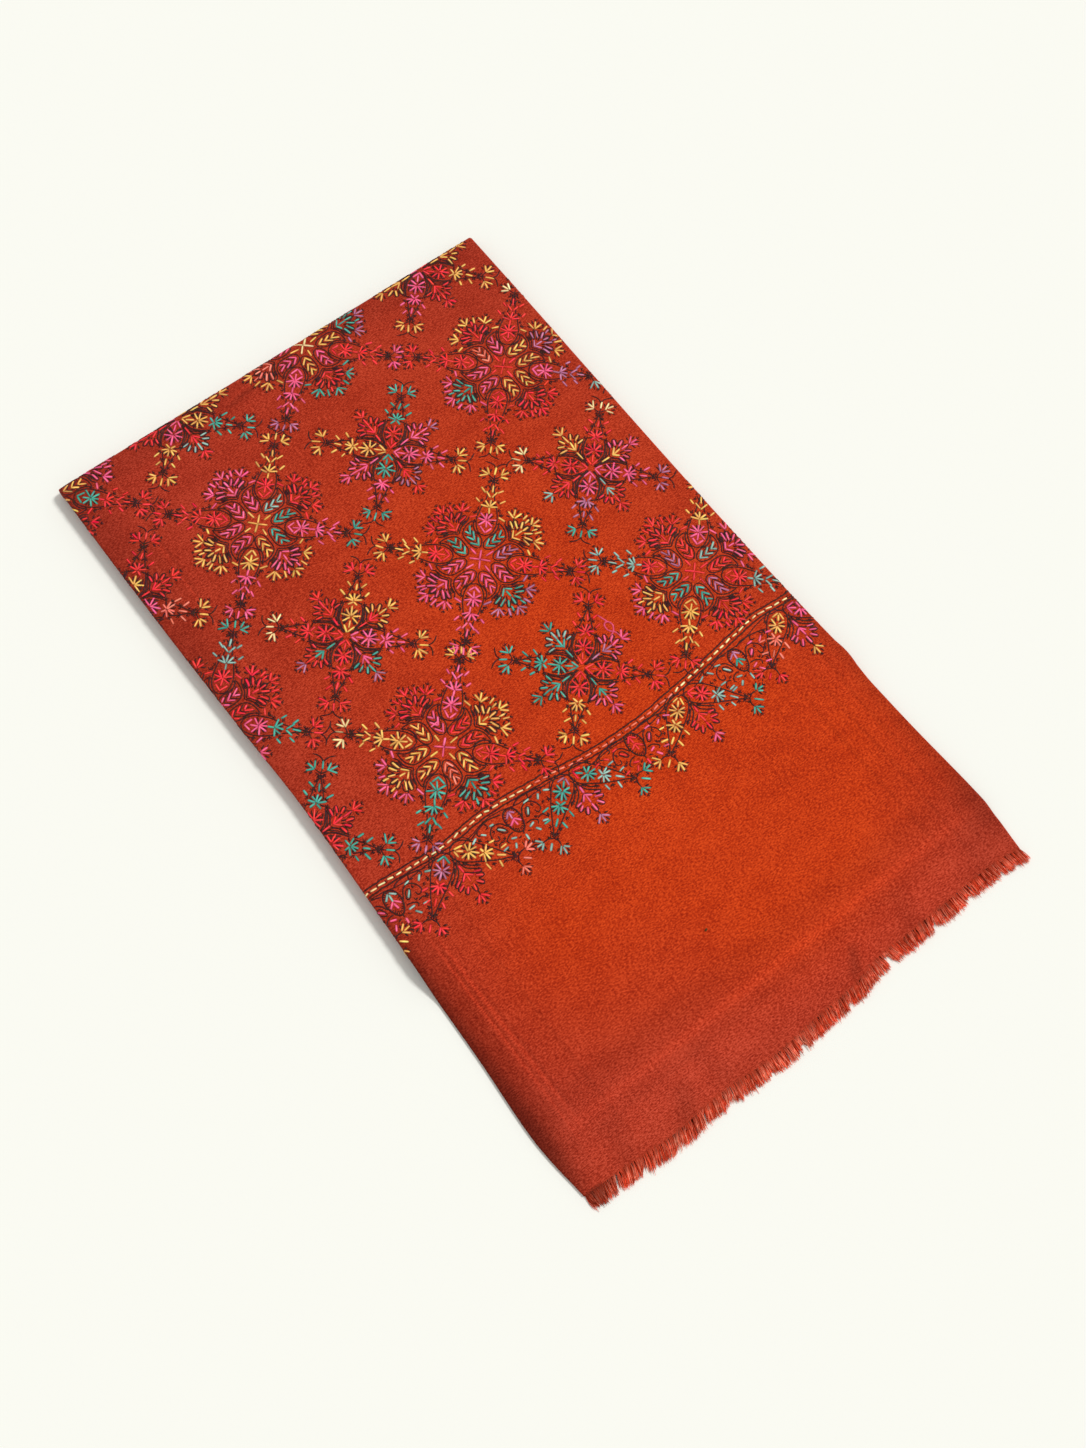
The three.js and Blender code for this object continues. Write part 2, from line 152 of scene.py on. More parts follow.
def beside(line, across, along):
    """How far points lie to one side of a line between two ends, and a weight that fades past its ends."""
    x0, y0, x1, y1 = (line[key] for key in ("x0", "y0", "x1", "y1"))
    length = math.hypot(x1 - x0, y1 - y0)
    t = ((across - x0) * (x1 - x0) + (along - y0) * (y1 - y0)) / length**2
    aside = ((across - x0) * (y1 - y0) - (along - y0) * (x1 - x0)) / length
    return aside, ease(-0.15, 0.2, t) * ease(1.15, 0.8, t)


# Where the top stretch rises, along and in from the left, on to the stretch below it, and on to the full stack.
THIN_RISE, THIN_SIDE, FULL_RISE = (32, UNDER_END - 1), (2, 15.5), (142, 171)
EDGE_FADE = (1, 8)  # in from a long edge, where the relief begins


def rest(across, along):
    """Height of the top stretch's underside over what it lies on."""
    from_left = across - left_edge(along)
    on_under = THIN_REST * ease(*THIN_RISE, along) * ease(*THIN_SIDE, from_left)
    return on_under + (FULL_REST - on_under) * ease(*FULL_RISE, along)


def relief(across, along):
    """How far the face stands above a plain stretch: hem waves, creases and soft troughs."""
    hem = read(HEM, "across", "along", across)
    height = np.zeros(np.broadcast(across, along).shape)
    for wave in HEM_WAVES:
        back = ease(hem + wave["reach"], hem, along)
        height = height + wave["height"] * ridge(across - wave["across"], wave["half_width"]) * back
    for crease in CREASES:
        aside, ends = beside(crease, across, along)
        height = height + crease["height"] * ridge(aside, crease["half_width"]) * ends
    from_edge = np.minimum(across - left_edge(along), right_edge(along) - across)
    return height * ease(*EDGE_FADE, from_edge)


def hem_shift(across, along):
    fade = ease(44, HEM_ALONG + 6, along)
    return along + (read(HEM, "across", "along", across) - HEM_ALONG) * fade


def lift_off(across, along, depth):
    """Points of the top stretch, at a depth below its face, from the hem to the underside past the fold."""
    on_face = np.clip(along, HEM_ALONG, FOLD_CENTRE)
    raised = relief(across, on_face) * ease(LIP + 0.1, LIP - 0.1, depth)
    turn = np.clip((along - FOLD_CENTRE) / FOLD_RADIUS, 0, math.pi)
    radius = FOLD_RADIUS - depth
    past = np.maximum(along - FOLD_CENTRE - FOLD_TURN, 0)
    flat_y = np.minimum(along, FOLD_CENTRE) + radius * np.sin(turn) - past
    over = rest(across, on_face) + raised + STRETCH - depth
    round_fold = STACK - FOLD_RADIUS + radius * np.cos(turn)
    height = np.where(along > FOLD_CENTRE, round_fold, over)
    return np.stack([across + 0 * along, flat_y - MIDDLE, height], axis=-1)


def inset_edges(inset, along):
    left = left_edge(along) + read(inset, "along", "left", along)
    return left, right_edge(along) - read(inset, "along", "right", along)


def back_along(along):
    """The place along the top face that lies over a point of the underside."""
    return 2 * FOLD_CENTRE + FOLD_TURN - along


def on_cloth(across, along, lift):
    """Points on the cloth's outer face, round its long edges and its far fold, lifted off it."""
    left = left_edge(along) + LIP
    right = right_edge(along) - LIP
    under = along > FOLD_CENTRE + FOLD_TURN * 0.5
    lift = np.where(under, np.minimum(lift, MAX_UNDER_LIFT), lift)
    past_left = np.maximum(left - across, 0)
    past_right = np.maximum(across - right, 0)
    turn = np.minimum((past_left + past_right) / LIP, math.pi)
    reach = (LIP + lift) * np.sin(turn)
    place = np.where(past_left > 0, left - reach, np.where(past_right > 0, right + reach, across))
    return lift_off(place, along, LIP - (LIP + lift) * np.cos(turn))


# Meshes.


def make_mesh(name, vertices, faces, smooth=True):
    """A mesh object from vertices in millimetres. faces is a list of arrays, each with faces of one size."""
    mesh = bpy.data.meshes.new(name)
    vertices = np.asarray(vertices, float) * MM
    faces = [np.asarray(f, np.int32) for f in faces if len(f)]
    loops = np.concatenate([f.ravel() for f in faces])
    totals = np.concatenate([np.full(len(f), f.shape[1], np.int32) for f in faces])
    starts = np.concatenate([[0], np.cumsum(totals)[:-1]]).astype(np.int32)
    mesh.vertices.add(len(vertices))
    mesh.vertices.foreach_set("co", vertices.astype(np.float32).ravel())
    mesh.loops.add(len(loops))
    mesh.loops.foreach_set("vertex_index", loops)
    mesh.polygons.add(len(totals))
    mesh.polygons.foreach_set("loop_start", starts)
    mesh.polygons.foreach_set("loop_total", totals)
    mesh.update(calc_edges=True)
    mesh.polygons.foreach_set("use_smooth", np.full(len(totals), smooth))
    mesh.validate()
    piece = bpy.data.objects.new(name, mesh)
    bpy.context.scene.collection.objects.link(piece)
    return piece


def set_colours(piece, colours):
    layer = piece.data.color_attributes.new("thread", "FLOAT_COLOR", "POINT")
    rgba = np.concatenate([colours, np.ones((len(colours), 1))], axis=1)
    layer.data.foreach_set("color", rgba.astype(np.float32).ravel())


def set_place(piece, across, along):
    """Each point's place on the flat cloth, in metres, for the weave."""
    layer = piece.data.attributes.new("cloth_place", "FLOAT_VECTOR", "POINT")
    flat = np.stack([across, along, 0 * across], axis=-1) * MM
    layer.data.foreach_set("vector", flat.astype(np.float32).ravel())


def rings_of(rings, points):
    """Numbers of the points of a row of rings, and the quads between the rings."""
    index = np.arange(rings * points).reshape(rings, points)
    following = np.roll(index, -1, axis=1)
    return index, np.stack([index[:-1], following[:-1], following[1:], index[1:]], axis=-1).reshape(-1, 4)


def wall(name, rings):
    """A closed wall from rings[section, point]. Each ring is the outer line and then the inner one, back."""
    points = rings.shape[1]
    index, sides = rings_of(*rings.shape[:2])
    half = points // 2
    near, far = index[0], index[-1]
    i = np.arange(half - 1)
    near_cap = np.stack([near[i], near[points - 1 - i], near[points - 2 - i], near[i + 1]], axis=-1)
    far_cap = np.stack([far[i], far[i + 1], far[points - 2 - i], far[points - 1 - i]], axis=-1)
    return make_mesh(name, rings.reshape(-1, 3), [np.concatenate([sides, near_cap, far_cap])])


def spaced(start, end, step):
    return np.linspace(start, end, max(2, round(abs(end - start) / step) + 1))


# The cloth.

ROW_RUNS = [
    (HEM_ALONG, 52, 1.5), (52, 140, 3.2), (140, 176, 2.0), (176, 520, 3.6), (520, FOLD_CENTRE, 2.0),
    (FOLD_CENTRE, FOLD_CENTRE + FOLD_TURN, 0.9),
]
ALONG_ROWS = np.unique(np.concatenate([spaced(*run) for run in ROW_RUNS]))
# Columns of points across the face, in from the left edge: close together where narrow creases run.
COLUMN_RUNS = table(
    "from to count",
    (0.0, 0.035, 6), (0.037, 0.084, 26), (0.088, 0.12, 6), (0.124, 0.140, 6), (0.15, 0.865, 62),
    (0.872, 0.886, 6), (0.892, 0.908, 3), (0.913, 0.925, 6), (0.934, 0.944, 3), (0.948, 0.962, 6),
    (0.97, 1.0, 5),
)
LIP_POINTS = 7
TURNED_COLUMNS = 12


def strip_line(inward):
    """The stretch's cross-section from one turned-under edge to the other: a function of the two edges' places
    that gives each point's place across, its depth, and its place on the flat cloth."""
    face = np.concatenate([np.linspace(run["from"], run["to"], run["count"]) for run in COLUMN_RUNS])
    lip = np.linspace(0, math.pi, LIP_POINTS)[1:-1]
    turned = np.linspace(0, 1, TURNED_COLUMNS)
    radius = LIP - inward
    gap = TURNED_UNDER_GAP / 2
    quarter = math.pi * LIP
    under = np.full(TURNED_COLUMNS, STRETCH - inward)

    def at(left, right):
        middle = (left + right) / 2
        start, end = left + LIP, right - LIP
        over = start + (end - start) * face
        left_under = (middle - gap) + (start - (middle - gap)) * turned
        right_under = ((middle + gap) + (end - (middle + gap)) * turned)[::-1]
        back = lip[::-1]
        parts = [
            (left_under, under, start - quarter - (left_under - start)),
            (start - radius * np.sin(back), LIP - radius * np.cos(back), start - LIP * back),
            (over, np.full(len(face), inward), over),
            (end + radius * np.sin(lip), LIP - radius * np.cos(lip), end + LIP * lip),
            (right_under, under, end + quarter + (end - right_under)),
        ]
        return [np.concatenate(values) for values in zip(*parts)]

    return at


def make_top_cloth():
    outer_line, inner_line = strip_line(0.0), strip_line(PLY)
    rings, flats, alongs = [], [], []
    for row in ALONG_ROWS:
        left, right = left_edge(row), right_edge(row)
        lines = []
        for line in (outer_line, inner_line):
            across, depth, flat = line(left, right)
            along = hem_shift(across, np.full_like(across, row))
            lines.append(lift_off(across, along, depth))
        rings.append(np.concatenate([lines[0], lines[1][::-1]]))
        flats.append(np.concatenate([flat, flat[::-1]]))
        alongs.append(np.concatenate([along, along[::-1]]))
    piece = wall("top_cloth", np.array(rings))
    set_place(piece, np.array(flats).ravel(), np.array(alongs).ravel())
    return piece


def wander(seed, at, size, reach):
    """A slow wave that differs for each seed, for edges that don't run quite straight."""
    phase = 2.1 * seed
    return size * (0.6 * np.sin(at / reach + phase) + 0.4 * np.sin(2.7 * at / reach + 1.7 * phase))


PLY_EDGE = 0.12  # a ply's rounded edge stops short of a half turn by this at both ends
PLY_WANDER = (0.8, 38)
PLY_INSET = 0.35  # of every second ply


def layered_section(along, left, right, bottom, top, layers, seed):
    """One section of a stack of plies, each rounded at its two long edges and set in by its own amount."""
    height = (top - bottom) / layers
    turns = np.linspace(PLY_EDGE, math.pi - PLY_EDGE, 5)
    def edge(side, layer):
        centre = top - height * (layer + 0.5)
        place = wander(seed + layer + (7 if side > 0 else 0), along, *PLY_WANDER)
        inset = PLY_INSET * (layer % 2) + place if layers > 1 else 0.0
        start = left + max(inset, 0) if side < 0 else right - max(inset, 0)
        radius = height / 2
        return [
            (start - side * radius + side * radius * math.sin(t), centre + radius * math.cos(t))
            for t in turns
        ]

    left_side = [p for layer in range(layers) for p in edge(-1, layer)]
    right_side = [p for layer in range(layers) for p in edge(1, layer)]
    half = len(left_side) // 2
    upper = left_side[:half][::-1] + [((left + right) / 2, top)] + right_side[:half]
    lower = left_side[half:] + [((left + right) / 2, bottom)] + right_side[half:][::-1]
    ring = upper + lower[::-1]
    return np.array([(x, along - MIDDLE, z) for x, z in ring])


def make_layers(name, rows):
    """A stack of plies as one closed piece. A row has along, left, right, bottom, top, layers and a seed."""
    rings = np.array([layered_section(*row) for row in rows])
    piece = wall(name, rings)
    across = rings[:, :, 0].ravel()
    set_place(piece, across, (rings[:, :, 1] + MIDDLE).ravel())
    return piece


HIDDEN_LAYERS = 6
UNDER_LAYERS = 2
SEAM_GAP = 0.15
ROUNDING = np.linspace(0.25, math.pi / 2, 5)[:-1]  # turns of the rounded front of a stretch
HIDDEN_RUNS = [(46.4, 142, 4), (143, 167.5, 1.6), (168.4, 566.8, 5)]
FULL_FROM = 169  # where the hidden layers no longer reach the surface


def make_hidden_cloth():
    rows = []
    thin_top = THIN_REST - SEAM_GAP
    for turn in ROUNDING:
        half = thin_top / 2 * math.sin(turn)
        along = UNDER_END + thin_top / 2 * (1 - math.cos(turn))
        rows.append((along, *inset_edges(HIDDEN_INSET, along), thin_top / 2 - half, thin_top / 2 + half))
    under_top = STRETCH + UNDER_CLEAR
    for along in np.concatenate([spaced(*run) for run in HIDDEN_RUNS]):
        bottom = 0.0 if along < FULL_FROM else under_top
        rows.append((along, *inset_edges(HIDDEN_INSET, along), bottom, float(rest(0.0, along)) - SEAM_GAP))
    radius = (FULL_REST - SEAM_GAP - under_top) / 2
    for turn in math.pi / 2 - ROUNDING[::-1]:
        half = radius * math.cos(turn)
        along = FOLD_CENTRE + radius * math.sin(turn)
        middle = under_top + radius
        rows.append((along, *inset_edges(HIDDEN_INSET, along), middle - half, middle + half))
    return make_layers("hidden_cloth", [(*row, HIDDEN_LAYERS, 3) for row in rows])


def make_under_cloth():
    rows = []
    top = STRETCH + UNDER_CLEAR - SEAM_GAP
    middle, half_height = (top + UNDER_CLEAR) / 2, (top - UNDER_CLEAR) / 2
    for turn in ROUNDING:
        half = half_height * math.sin(turn)
        along = MIDDLE_FOLD + half_height * (1 - math.cos(turn))
        rows.append((along, *inset_edges(UNDER_INSET, along), middle - half, middle + half))
    for along in spaced(MIDDLE_FOLD + half_height, FOLD_CENTRE - 0.05, 6):
        rows.append((along, *inset_edges(UNDER_INSET, along), UNDER_CLEAR, top))
    return make_layers("under_cloth", [(*row, UNDER_LAYERS, 11) for row in rows])


# Needlework. A pen works in the frame of one arm of a motif: how far aside of its axis, and how far out.

# Red, pink, gold, teal, sage, mauve, salmon, cream, and the dark thread of the outlines.
THREADS = {
    "R": (0.70, 0.024, 0.028),
    "P": (0.74, 0.080, 0.175),
    "G": (0.70, 0.330, 0.075),
    "T": (0.050, 0.26, 0.20),
    "A": (0.20, 0.33, 0.28),
    "M": (0.36, 0.115, 0.20),
    "S": (0.80, 0.15, 0.10),
    "C": (0.80, 0.52, 0.24),
    "K": (0.050, 0.009, 0.007),
}
STITCH_WIDTH = 1.85
STITCH_OVERRUN = 0.55
RUNNING_WIDTH = 0.9  # of a plain stitch
STITCH_HEIGHT = 0.46
STITCH_SHAKE = 0.3  # the unevenness of the hand
LINE_WIDTH = 1.35
TICK_WIDTH = 1.15  # of a plain line
FINE_WIDTH = 0.8
LINE_HEIGHT = 0.34
LINE_SHAKE = 0.14
LINE_STEP = 1.4
UNDER_LINE_STEP = 2.8
LINE_KINDS = {"line": 1.0, "ring": 1.0, "fine": FINE_WIDTH, "tick": TICK_WIDTH}


def smooth_line(points, step, closed=False):
    """A curve through the points, in even short steps."""
    p = np.array(points, float)
    if len(p) == 2:
        count = max(2, round(float(np.linalg.norm(p[1] - p[0])) / step) + 1)
        return p[0] + (p[1] - p[0]) * np.linspace(0, 1, count)[:, None]
    before = p[-1:] if closed else 2 * p[:1] - p[1:2]
    after = p[:2] if closed else 2 * p[-1:] - p[-2:-1]
    q = np.concatenate([before, p, after])
    t = np.linspace(0, 1, 9)[:-1, None]
    fine = []
    for i in range(1, len(q) - 2):
        a, b, c, d = q[i - 1 : i + 3]
        fine.append(
            0.5 * (2 * b + (c - a) * t + (2 * a - 5 * b + 4 * c - d) * t**2 + (3 * b - a - 3 * c + d) * t**3)
        )
    fine = np.concatenate([*fine, q[-2:-1]])
    lengths = np.concatenate([[0], np.cumsum(np.linalg.norm(np.diff(fine, axis=0), axis=1))])
    count = max(3, round(lengths[-1] / step) + 1)
    at = np.linspace(0, lengths[-1], count)
    return np.stack([np.interp(at, lengths, fine[:, k]) for k in (0, 1)], axis=1)


def aimed(turn):
    angle = math.radians(turn)
    return np.array([math.sin(angle), math.cos(angle)])


class Work:
    """The stitches and lines of one piece of needlework, on the flat cloth."""

    def __init__(self, line_step):
        self.stitches = []
        self.lines = []
        self.line_step = line_step


class Pen:
    """Draws in the frame of an arm. turn is clockwise from the far side, and flip mirrors the arm."""

    def __init__(self, work, centre, turn=0.0, flip=1):
        self.work = work
        self.centre = np.array(centre, float)
        self.out = aimed(turn)
        self.side = flip * np.array([self.out[1], -self.out[0]])

    def place(self, points):
        p = np.array(points, float).reshape(-1, 2)
        return self.centre + p[:, :1] * self.side + p[:, 1:] * self.out

    def stitch(self, start, end, colour, width=1.0):
        shake = noise.normal(0, STITCH_SHAKE, (2, 2))
        a, b = np.array(start, float), np.array(end, float)
        b = b + STITCH_OVERRUN * (b - a) / np.linalg.norm(b - a)
        self.work.stitches.append((self.place([a, b]) + shake, colour, width))

    def line(self, points, closed=False, colour="K", width=1.0):
        shake = noise.normal(0, LINE_SHAKE, (len(points), 2))
        line = smooth_line(self.place(points) + shake, self.work.line_step, closed)
        self.work.lines.append((line, colour, width))

    def foot(self, at, turn, size):
        """Three small dark ticks from one point."""
        self.dark_fan(at, 0.0, size + 0.2, turn - 50, turn, turn + 50)

    def ray(self, start, end, colour):
        """A stitch with a dark scallop round its outer end."""
        a, b = np.array(start, float), np.array(end, float)
        run = (b - a) / np.linalg.norm(b - a)
        aside = np.array([-run[1], run[0]]) * 1.3
        self.stitch(a, b, colour)
        left, right = [a + aside + run, b + aside - 0.4 * run], [b - aside - 0.4 * run, a - aside + run]
        self.line([*left, b + 1.2 * run, *right])

    def fan(self, at, colour, inner, outer, *turns):
        """Stitches that radiate from one point."""
        for aim in map(aimed, turns):
            self.stitch(np.array(at) + inner * aim, np.array(at) + outer * aim, colour)

    def dark_fan(self, at, inner, outer, *turns):
        for aim in map(aimed, turns):
            self.line([np.array(at) + inner * aim, np.array(at) + outer * aim], width=TICK_WIDTH)

    def bud(self, at, colour, turn, size=5.7):
        """A three-stitch bud that opens in one direction, with dark ticks round it."""
        self.fan(at, colour, 0.5, size, turn - 44, turn + 44)
        self.fan(at, colour, 1.2, size * 1.04, turn)
        self.dark_fan(at, size * 0.45, size * 0.95, turn - 72, turn + 72)
        self.dark_fan(at, size * 0.7, size * 1.25, turn - 21, turn + 21)
        self.dark_fan(at, size * 1.02, size * 1.32, turn - 52, turn + 52)
        self.foot(np.array(at) + size * 1.2 * aimed(turn), turn, 1.5)

    def follow(self, rows, threads, out):
        """Works the rows of a chart, moved out along the arm."""
        steps = {
            "stitch": self.stitch, "ray": self.ray, "fan": self.fan, "bud": self.bud, "foot": self.foot,
            "dark": self.dark_fan,
        }
        for row in rows:
            (kind, *names), *parts = [part.split() for part in row.split("|")]
            for part in parts:
                pairs = [word.split(",") for word in part if "," in word]
                places = [(float(aside), float(reach) + out) for aside, reach in pairs]
                if kind in LINE_KINDS:
                    self.line(places, kind == "ring", width=LINE_KINDS[kind])
                else:
                    numbers = [float(word) for word in part if "," not in word]
                    steps[kind](*places, *(threads[name] for name in names), *numbers)


def motif(work, centre, turn, chart, out=0.0, **threads):
    """Works a chart on one arm. Two threads under one name are for the two sides."""
    for part in chart.split("\n\n"):
        name, *rows = part.split("\n")
        for k, flip in enumerate((1, -1) if name.strip() == "sides" else (1,)):
            own = {key: names[k] if len(names) == 2 else names for key, names in threads.items()}
            Pen(work, centre, turn, flip).follow(rows, own, out)


# Charts of the motifs. Each part of one is worked on the arm's middle, or on both of its sides.
# A row begins with a kind of step and the name of its thread. Its steps follow, with places as
# aside,out in millimetres. A foot and a bud have a turn and a size, and a fan or a fan of dark ticks
# has its inner and outer reach and its turns. A line, a ring, a fine line and a tick are dark.

PETAL = """sides
ring | 5.2,7.2 8.4,9.2 10.1,13.6 9.9,18.4 10.9,22.4 13.8,25.4 8.6,25.6 4.4,24 1.5,20.6 1.1,14.2 2.2,9.2
line | 2.4,15.8 5.3,11.6 8.6,15.6 | 2.6,17.2 3.6,15.6 | 8.8,17.4 7.8,15.8
line | 2.6,20.6 5.6,16.6 8.4,20.8 | 3.6,22.4 5.4,19.8 6.8,23.6 | 9.2,22 10.6,24
stitch petal | 5.3,9 8.3,13 | 5.3,9 2.6,13 | 5.4,14 8.2,18.2 | 5.4,14 2.8,17.8
stitch petal | 6,18.8 8.4,23.4 | 5.6,19.2 4,21.8"""

# The flower between two petal pairs: a dark double base, rays, and three buds.
WIDE_FAN = """sides
line | 0,23 4.4,26.2 9.8,27.4 12.6,29.6 | 0,24.6 4.2,28 9.4,29
stitch flower | 0.1,26.4 3.7,29.3
ray flower | 5,30.2 10.4,31.4 | 3.8,32.4 8.8,35 | 2.2,34.2 4.8,38
stitch bud | 12.6,29.2 16.8,27.8
foot | 16.6,29.8 70 1.6
line | 8.8,33 11.4,35
bud bud | 10.8,35.4 46
stitch bud | 6.2,39.4 7.7,43.4
dark | 6.2,39.4 2.4 5.2 -14 48
foot | 8.2,44.4 20 1.4
dark | 0,26.5 5.4 9.4 81 66 52 38 22
line | 0,34.2 1.5,36.4 1.5,38.6 0,40.6 | 4.8,38.6 3.4,41.4 1.4,43
stitch flower | 3.6,38.8 4.4,42.4

middle
stitch flower | 0,28.6 0,33
ray flower | 0,34.2 0,38.6
line | 0,39.4 0,42
bud bud | 0,41.6 0 5.6"""

# A long drop-shaped leaf: a corner stitch, two asterisks, two chevrons, and ticks along both sides.
DROP = """sides
line | 0,17.5 3.9,19.2 6.3,24.5 6.6,30 5.6,36 4.2,41 | 3,43.6 2.2,48 1.1,54 0.3,60
fine | 4.4,17.4 7.3,21.2 8.2,26
stitch base | 0.1,19.8 3.3,23.2
foot | 7.4,27 80 1.7 | 7.4,33.6 60 1.8
stitch tip | 7,41.6 9.4,44.4
foot | 5,42.6 50 1.7 | 6.2,36.6 70 1.7
stitch tip | 0.4,46 3.4,49.8 | 4.4,49 7,51.8
foot | 3.6,53 60 1.7
tick | 0.6,51.4 2.8,55
foot | 2.2,57 60 1.7

middle
fan base | 0,28.6 0.7 5.6 -128 -78 -38 32 74 132 | 0,28.6 0.3 5 -4 180
dark | 0,28.6 2.8 5.6 -108 -62 -20 12 42 88 110
fan tip | 0,38.6 0.7 5.2 -76 -38 2 40 78 | 0,38.6 0.3 4 178
dark | 0,38.6 2.8 5.6 -56 -17 21 60
stitch tip | 0,50.2 0,54.8"""

# The end of an arm: a knot, two buds, a stitch between them, and two dark stems that curl away.
BRANCH = """middle
line | 0,-1 0,3.4
foot | 0,-2.2 96 2 | 0,-2.2 -96 2
stitch end | 0,3.2 0,8.2

sides
line | 0,0 2.2,1.2 4,2.6
foot | 1.6,-0.4 120 1.6
bud end | 3.8,2.6 60 5.4
line | 0,7.6 1.2,10 3.8,11.6 7.2,12.4"""

CROSS = """middle
fan inner | 0,0 0.2 6 45 135 225 315
fan outer | 0,0 5 9.8 0 90 180 270"""

SMALL_LEAF = """sides
line | 1.6,2.4 5,5.8 7,11.5 7,18 5.6,24 | 4.4,27.4 3,32.4 1.2,38 0.3,43
fine | 6.4,6.6 8.3,11.2 8.5,16 7.8,20.4 | 8.8,10 10.1,13.6 10.1,17.8
stitch base | 0.2,2.6 3.2,6.6
foot | 6.6,22.4 70 1.8 | 5.4,27 60 1.7
stitch tip | 6,28.4 8.6,31
foot | 3.4,32.4 60 1.7
stitch tip | 3.6,34.6 6.2,37.4
foot | 1.8,38.4 60 1.7
tick | 1,31.6 3,34.6

middle
stitch base | 0,5.4 0,9.8
fan base | 0,13.6 0.9 5.8 -130 -82 -40 38 84 130
dark | 0,13.6 2.4 6.4 -106 -61 -18 18 61 106 152 208
stitch base | 0,14.2 0,20.4
fan tip | 0,24.6 0.8 5 -74 -36 3 38 76 | 0,24.6 0.6 3.8 136 224
dark | 0,24.6 2.6 5.8 -56 -18 20 56 106 254
stitch tip | 0.2,32.4 0.2,36.6"""

# The flower between two small leaves: a stem, veined sides, a scalloped crown and one bud.
NARROW_FAN = """sides
line | 1.2,6.4 3.6,14.2 9.6,19.6 | 3,8 5.4,12.6 9.4,16.8 | 3.6,8 6.6,11.8 9.8,14.6
line | 0.4,15.6 4.6,18.6 9.4,20.8
tick | 0.6,9.6 2.4,12.4 | 0.6,12.2 3.2,15.6
dark | 0,18.6 4.4 7.4 80 62 40 18
stitch flower | 0.1,17.6 3,21.4
ray ray | 4.6,20.6 8.8,20.9 | 3.9,23.2 7.9,25.2 | 2.4,25.2 4.4,29

middle
line | 0,2.5 0,8.6
stitch flower | 0,9.2 0,14.8 | 0,18 0,24
stitch ray | 0,24.6 0,30.4
line | -1.6,28.6 0,31.4 1.6,28.6
bud bud | 0,31.8 0 5.6"""

BORDER_DROP = """sides
line | 0,-0.4 4.4,1.2 6.6,6.5 6.5,13 5,21 2.8,30 0.9,36.5 0.3,41
fine | 5.8,0.6 8.2,5.6 8.2,10.6
stitch corner | 0.2,2 3.4,5.4
foot | 7,10 80 1.7 | 6.9,16.4 60 1.8
stitch tip | 6.4,22.4 9,25
foot | 5.2,26.6 60 1.8
stitch tip | 3.6,30 6.4,32.6
foot | 2.6,34 60 1.8 | 1.4,37.6 60 1.6

middle
stitch base | 0,3.6 0,7.6
fan base | 0,11 0.7 5 -130 -84 -40 40 84 130
stitch base | 0,11.6 0,16.6
dark | 0,11 2.4 5.4 -107 -62 -20 20 62 107 155 205
fan tip | 0,20.4 0.7 5 -76 -38 2 38 76 | 0,20.4 0.5 3.4 138 222
dark | 0,20.4 2.4 5.4 -57 -18 20 57 104 256
stitch tip | 0,28.4 0,32.8"""

BORDER_BRANCH = """middle
foot | 0,-2.2 96 1.8 | 0,-2.2 -96 1.8
stitch end | 0,3 0,7.4

sides
line | 0,0 3.4,1.2 5.6,3.8
foot | 2,-0.2 110 1.5
bud end | 5.4,3.6 46 4.8"""

# The flower that hangs between two drops.
BORDER_FLOWER = """sides
line | 0.8,6 2.6,12.6 9.8,18.6 | 2.6,9 5.8,13 11,16.6 | 0.5,14.6 4.6,17.6 9.6,19.2
stitch flower | 0.1,15.2 3.2,18
ray flower | 4.8,17.6 8.6,18.6 | 4.4,20.2 8.2,21.8 | 3.2,22.6 5.8,26

middle
stitch flower | 0,9.4 0,13.4 | 0,16 0,21
ray flower | 0,22.6 0,27.4
line | 0,28 0,30.6
bud bud | 0,30.6 0 5.2"""

# The scrolls and scattered stitches beside an upright leaf of the border.
LEAF_SIDES = """sides
line | 4.6,7 9,8.6 15,8.8 22,7.4 28,5.2
line | 5.4,-2 8.6,3 13,4 16.8,0.6 17.6,-4 14.6,-5.4 13.8,-2.6
line | 7.2,-3.8 9.2,-4 12,-0.4 11.6,1.4 9,0.6 7.2,-3.8
line | 16.2,8.6 15.2,5.6 17.6,4.8 | 22.4,7.2 23.8,4.6 21.8,3.2 | 4.8,-6.4 8.4,-6.6 11.6,-9.4 10.2,-11.2
line | 12.4,-8.2 15.6,-7.4 17.6,-9.8 | 2.4,-11 4.6,-11.8
stitch leaf | 11,4.4 14.4,4.8 | 18.9,1.4 21.3,3.8 | 25.2,4 28.6,2.6 | 8.6,-2.8 11.2,0.2
stitch leaf | 4.8,-9.8 8,-8.9 | 7,-12.4 9.2,-15 | 13.2,-11.6 16.4,-12.4
foot | 13.6,1 100 1.4 | 20.4,-1.4 140 1.4 | 11.4,-7 40 1.4"""

BIG_REACH = 60.0  # from a big star's centre to its branches
SMALL_REACH = 43.5
BORDER_REACH = 41.0


def big_star(work, centre, turn, threads):
    motif(work, centre, 0, CROSS, inner=threads["cross"][0], outer=threads["cross"][1])
    for k in range(4):
        angle = 90 * k + turn
        motif(work, centre, angle, PETAL, petal=threads["petals"][2 * k : 2 * k + 2][::-1])
        motif(work, centre, angle, WIDE_FAN, flower=threads["fans"][k], bud=threads["buds"][k])
    for k in range(4):
        angle = 45 + 90 * k + turn
        motif(work, centre, angle, DROP, base=threads["drops"][k], tip=threads["tips"][k])
        motif(work, centre, angle, BRANCH, BIG_REACH, end=threads["ends"][k])


